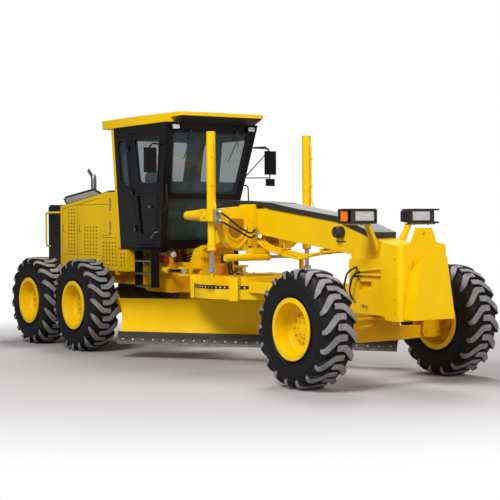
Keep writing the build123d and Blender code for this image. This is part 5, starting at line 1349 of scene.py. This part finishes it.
DASH = ((0.03, 2.25), (0.03, 2.43), (0.06, 2.455), (0.15, 2.44), (0.15, 2.25))
dash = [(cab_front_x(z) - inward, z) for inward, z in DASH]
piece("dash", [plate(rounded(dash, 0.015), -0.655, 0.655, 1)], black_plastic, "rear_body")
LEVER_X, LEVERS = at(1.93), np.linspace(-0.19, -0.09, 4)
KNOB = [(0.0, 0.016), (0.011, 0.012), (0.014, 0.0), (0.011, -0.012), (0.0, -0.016)]
levers = [pipe([(LEVER_X - 0.03, y, 2.22), (LEVER_X - 0.05, y * 1.05, 2.36)], 0.006, 8) for y in LEVERS]
knobs = [turned(KNOB, (LEVER_X - 0.05, y * 1.05, 2.368), (0, 0, 1), 14) for y in LEVERS]
piece("control_levers", both_sides(*levers, *knobs), black_plastic, "rear_body")
print("seat and levers made")

# %% [markdown]
# ## Outside the cab
# Braces carry the far mirror, a grab rail stands at the front corner, and a round work lamp hangs
# under the floor.  The steps' front edges are bright where boots have worn them.

# %% Mirror braces, grab rails, work lamp and steps
foot = (cab_front_x(2.52) - 0.02, 0.675, 2.515)
brace = [pipe([(cab_front_x(2.94) - 0.03, 0.70, 2.945), (at(2.555), 0.985, 2.935)], 0.009, 8),
         *(pipe([foot, (at(2.55), 0.985, z)], 0.008, 8) for z in (2.90, 2.515))]
piece("mirror_braces", brace, rail_black, "rear_body")
rail_x = cab_front_x(2.41)
grab = pipe(smooth_path([(rail_x - 0.01, 0.64, 2.41), (rail_x + 0.10, 0.68, 2.405),
                         (rail_x + 0.115, 0.68, 2.10), (cab_front_x(2.02) - 0.01, 0.62, 2.02)], 0.05),
            0.010, 8)
piece("grab_rails", both_sides(grab), rail_black, "rear_body")

LAMP_SHELL = [(0.0, -0.05), (0.035, -0.048), (0.052, -0.015), (0.054, 0.0), (0.054, 0.018), (0.046, 0.018),
              (0.044, 0.008), (0.0, 0.008)]
LAMP_GLASS = [(0.0, 0.021), (0.025, 0.019), (0.043, 0.012), (0.043, 0.009), (0.0, 0.009)]
shell, glass = (turned(form, (at(2.205), -0.43, 1.425), (1, -0.15, 0), 32)
                for form in (LAMP_SHELL, LAMP_GLASS))
neck = rod((at(2.185), -0.43, 1.47), (at(2.185), -0.43, 1.50), 0.012, 10)
piece("cab_work_lamp", both_sides(shell, neck), black_plastic, "rear_body")
piece("cab_work_lens", both_sides(glass), clear_lens, "rear_body")
STEP_IN, STEP_OUT, STEPS = 0.606, 0.737, (0.96, 1.14, 1.32)
edges = [brick(at(1.656), at(2.104), STEP_OUT - 0.006, STEP_OUT, z, z + 0.0235) for z in STEPS]
studs = [brick(x, x + 0.010, STEP_IN + 0.01, STEP_OUT - 0.01, z + 0.022, z + 0.026)
         for z in STEPS for x in np.linspace(at(1.68), at(2.08), 9)]
piece("step_edges", both_sides(*edges, *studs), steel, "rear_body")
MIRROR = rounded([(-0.082, -0.160), (0.082, -0.160), (0.082, 0.160), (-0.082, 0.160)], 0.03, 4)
glass = plate(MIRROR + np.array((1.0, 2.73)), at(2.5485), at(2.5497), 0)
piece("mirror_glass", both_sides(glass), mirror_face, "rear_body")
print("rails, work lamps and steps made")

# %% [markdown]
# ## Under the cab and round the tandems
# Under the cab one sees the gearbox with a short drive shaft in front of it, hoses, and a small
# valve block.  They are plain castings and pipes, since only their dark shapes show.

# %% Gearbox, drive shaft, valve block and hoses
CASE = ahead((0.20, 0.70), (0.95, 0.66), (1.25, 0.78), (1.25, 0.955), (0.20, 0.955))
case = [plate(rounded(CASE, 0.05), -0.235, 0.235, 1),
        turned([(0.10, 0.0), (0.16, 0.02), (0.16, 0.16), (0.11, 0.20), (0.06, 0.22)],
               (at(1.25), 0, 0.83), (1, 0, 0), 32)]
piece("gearbox", case, dark_steel, "rear_body", bevel=0.006)
shaft = [rod((at(1.40), 0, 0.86), (at(2.02), 0, 0.93), 0.038, 20)]
shaft += [turned([(0.0, -0.03), (0.062, -0.03), (0.062, 0.03), (0.0, 0.03)], (x, 0, z), (1, 0, 0.11), 24)
          for x, z in ((at(1.50), 0.872), (at(1.98), 0.925))]
piece("drive_shaft", shaft, dark_steel, "rear_body")
valve_red = painted("valve_paint", (0.30, 0.035, 0.015), dust=0.02, gloss=0.45)
blocks = [brick(at(1.86), at(2.07), -0.470, -0.415, 1.30, 1.405),
          brick(at(1.90), at(1.95), -0.486, -0.470, 1.33, 1.38),
          brick(at(1.98), at(2.03), -0.486, -0.470, 1.33, 1.38)]
piece("valve_block", both_sides(*blocks), valve_red, "rear_body", bevel=0.004)
runs = []
for k in range(3):
    x = at(1.89 + 0.07 * k)
    runs.append([(x, -0.445, 1.405), (x, -0.445, 1.455), (x - 0.10, -0.39, 1.475),
                 (x - 0.35, -0.36, 1.44 - 0.03 * k), (at(1.20), -0.36, 1.36 - 0.04 * k)])
for k in range(2):
    runs.append([(at(1.40 + 0.05 * k), -0.46, 1.247), (at(1.44 + 0.06 * k), -0.45, 1.30),
                 (at(1.66), -0.43, 1.34 + 0.03 * k), (at(1.86), -0.44, 1.34 + 0.03 * k)])
bay_lines, bay_ends = [], []
for run in runs:
    cable, ends = hose(run, 0.011, 0.07)
    bay_lines.append(cable)
    bay_ends += ends
piece("bay_hoses", both_sides(*bay_lines), seal_rubber, "rear_body")
piece("bay_hose_ends", both_sides(*bay_ends), steel, "rear_body")
print("engine bay hoses:", len(bay_lines))

# %% Tandem cases, axle plugs and rear details
CASE_FACE = 0.8202
tandem = [(TANDEM_X + x, -CASE_FACE, z)
          for x, z in ((-0.42, 0.86), (-0.42, 0.49), (0.0, 0.88), (0.0, 0.47), (0.42, 0.86), (0.42, 0.49))]
cover = turned([(0.0, 0.022), (0.115, 0.022), (0.125, 0.014), (0.125, 0.0)],
               (TANDEM_X, -CASE_FACE, 0.675), (0, -1, 0), 40)
ring = [(TANDEM_X + 0.098 * math.cos(a), -CASE_FACE - 0.022, 0.675 + 0.098 * math.sin(a))
        for a in np.arange(8) * math.pi / 4]
piece("tandem_covers", both_sides(cover, bolts(tandem, (0, -1, 0), 0.012),
                                  bolts(ring, (0, -1, 0), 0.010)), yellow, "rear_body")
core = brick(at(-1.50), at(-1.492), -0.488, 0.488, 1.292, 1.698)
piece("radiator_core", [core], hole_black, "rear_body")
plugs = [turned([(0.0, 0.010), (0.016, 0.010), (0.016, 0.0)],
                (TANDEM_X - 0.13, 0.0, 0.58), (-1, 0, -0.4), 12)]
piece("axle_plugs", plugs, dark_steel, "rear_body")
print("rest dressed")

# %% [markdown]
# ## Floor, backdrop and light
# The machine stands on a pale floor that fades to plain white, as in a studio with a curved
# paper backdrop.  The light is soft: a broad source high on the camera's left, a weaker one from
# the right, and an even sky.  Only what the camera sees, straight or through glass, is white.
# Mirrors see a dimmer floor and sky, so that dark panes stay dark and the light stays plain.

# %% Floor and sky
FLOOR_GREY, MIRRORED_WHITE = (0.385, 0.374, 0.376), 0.42
FADE_FROM, FADE_TO, FLOOR_REACH = 4.4, 8.6, 60.0
SKY_SEEN, SKY_LIGHT, SKY_MIRRORED = 1.0, 0.38, 0.15

floor_paint = Paint("floor")
away = floor_paint.node("ShaderNodeVectorMath", {"operation": "LENGTH"},
                        {0: floor_paint.where()}, output="Value")
path = floor_paint.nodes.new("ShaderNodeLightPath")
straight, mirrored, through = (
    Wire(floor_paint, path.outputs[f"Is {kind} Ray"]) for kind in ("Camera", "Glossy", "Transmission"))
seen = straight + mirrored + through
matt = floor_paint.node("ShaderNodeBsdfDiffuse", sockets={"Color": FLOOR_GREY})
paper = floor_paint.mix(mirrored, (1.0,) * 3, (MIRRORED_WHITE,) * 3)
white = floor_paint.node("ShaderNodeEmission", sockets={"Color": paper})
ramp = floor_paint.span(away, FADE_FROM, FADE_TO)
fade = ramp * ramp * (3.0 - ramp * 2.0) * seen.clamp()
shader = floor_paint.node("ShaderNodeMixShader", sockets={0: fade, 1: matt, 2: white})
floor_paint.node("ShaderNodeOutputMaterial", sockets={"Surface": shader})

floor_mesh = bpy.data.meshes.new("floor")
corners = [(x * FLOOR_REACH, y * FLOOR_REACH, 0) for x, y in ((-1, -1), (1, -1), (1, 1), (-1, 1))]
floor_mesh.from_pydata(corners, [], [(0, 1, 2, 3)])
floor = bpy.data.objects.new("floor", floor_mesh)
floor_mesh.materials.append(floor_paint.material)
bpy.context.scene.collection.objects.link(floor)

world = bpy.data.worlds.new("studio")
bpy.context.scene.world = world
world.use_nodes = True
tree = world.node_tree
tree.nodes.clear()
rays = tree.nodes.new("ShaderNodeLightPath")
either = tree.nodes.new("ShaderNodeMath")
either.operation = "ADD"
either.use_clamp = True
tree.links.new(rays.outputs["Is Camera Ray"], either.inputs[0])
tree.links.new(rays.outputs["Is Transmission Ray"], either.inputs[1])


def sky(strength):
    """One even sky of a given strength."""
    shader = tree.nodes.new("ShaderNodeBackground")
    shader.inputs["Color"].default_value = (1, 1, 1, 1)
    shader.inputs["Strength"].default_value = strength
    return shader.outputs[0]


def chosen(share, first, second):
    """The first sky where the share is 0 and the second where it is 1."""
    blend = tree.nodes.new("ShaderNodeMixShader")
    for socket, value in zip(blend.inputs, (share, first, second)):
        tree.links.new(value, socket)
    return blend.outputs[0]


lit = chosen(rays.outputs["Is Glossy Ray"], sky(SKY_LIGHT), sky(SKY_MIRRORED))
world_out = tree.nodes.new("ShaderNodeOutputWorld")
tree.links.new(chosen(either.outputs[0], lit, sky(SKY_SEEN)), world_out.inputs[0])
print("floor fades to white from", FADE_FROM, "to", FADE_TO)

# %% Lamps
def soft_lamp(name, place, aim, size, watts):
    """A round lamp with soft shadows, turned to face a point."""
    data = bpy.data.lights.new(name, "AREA")
    data.shape, data.size, data.energy = "DISK", size, watts
    lamp = bpy.data.objects.new(name, data)
    facing = (Vector(aim) - Vector(place)).to_track_quat("-Z", "Y").to_matrix().to_4x4()
    lamp.matrix_world = Matrix.Translation(place) @ facing
    bpy.context.scene.collection.objects.link(lamp)


soft_lamp("key", (6.0, -9.0, 10.0), (0, 0, 0.8), 5.0, 1500)
soft_lamp("fill", (13.0, 1.0, 5.0), (1.0, 0, 1.0), 6.0, 520)
soft_lamp("top", (-4.0, 4.0, 12.0), (0, 0, 0), 6.0, 1500)
bpy.context.scene.view_settings.view_transform = "Standard"
print("lamps placed:", len(bpy.data.lights))
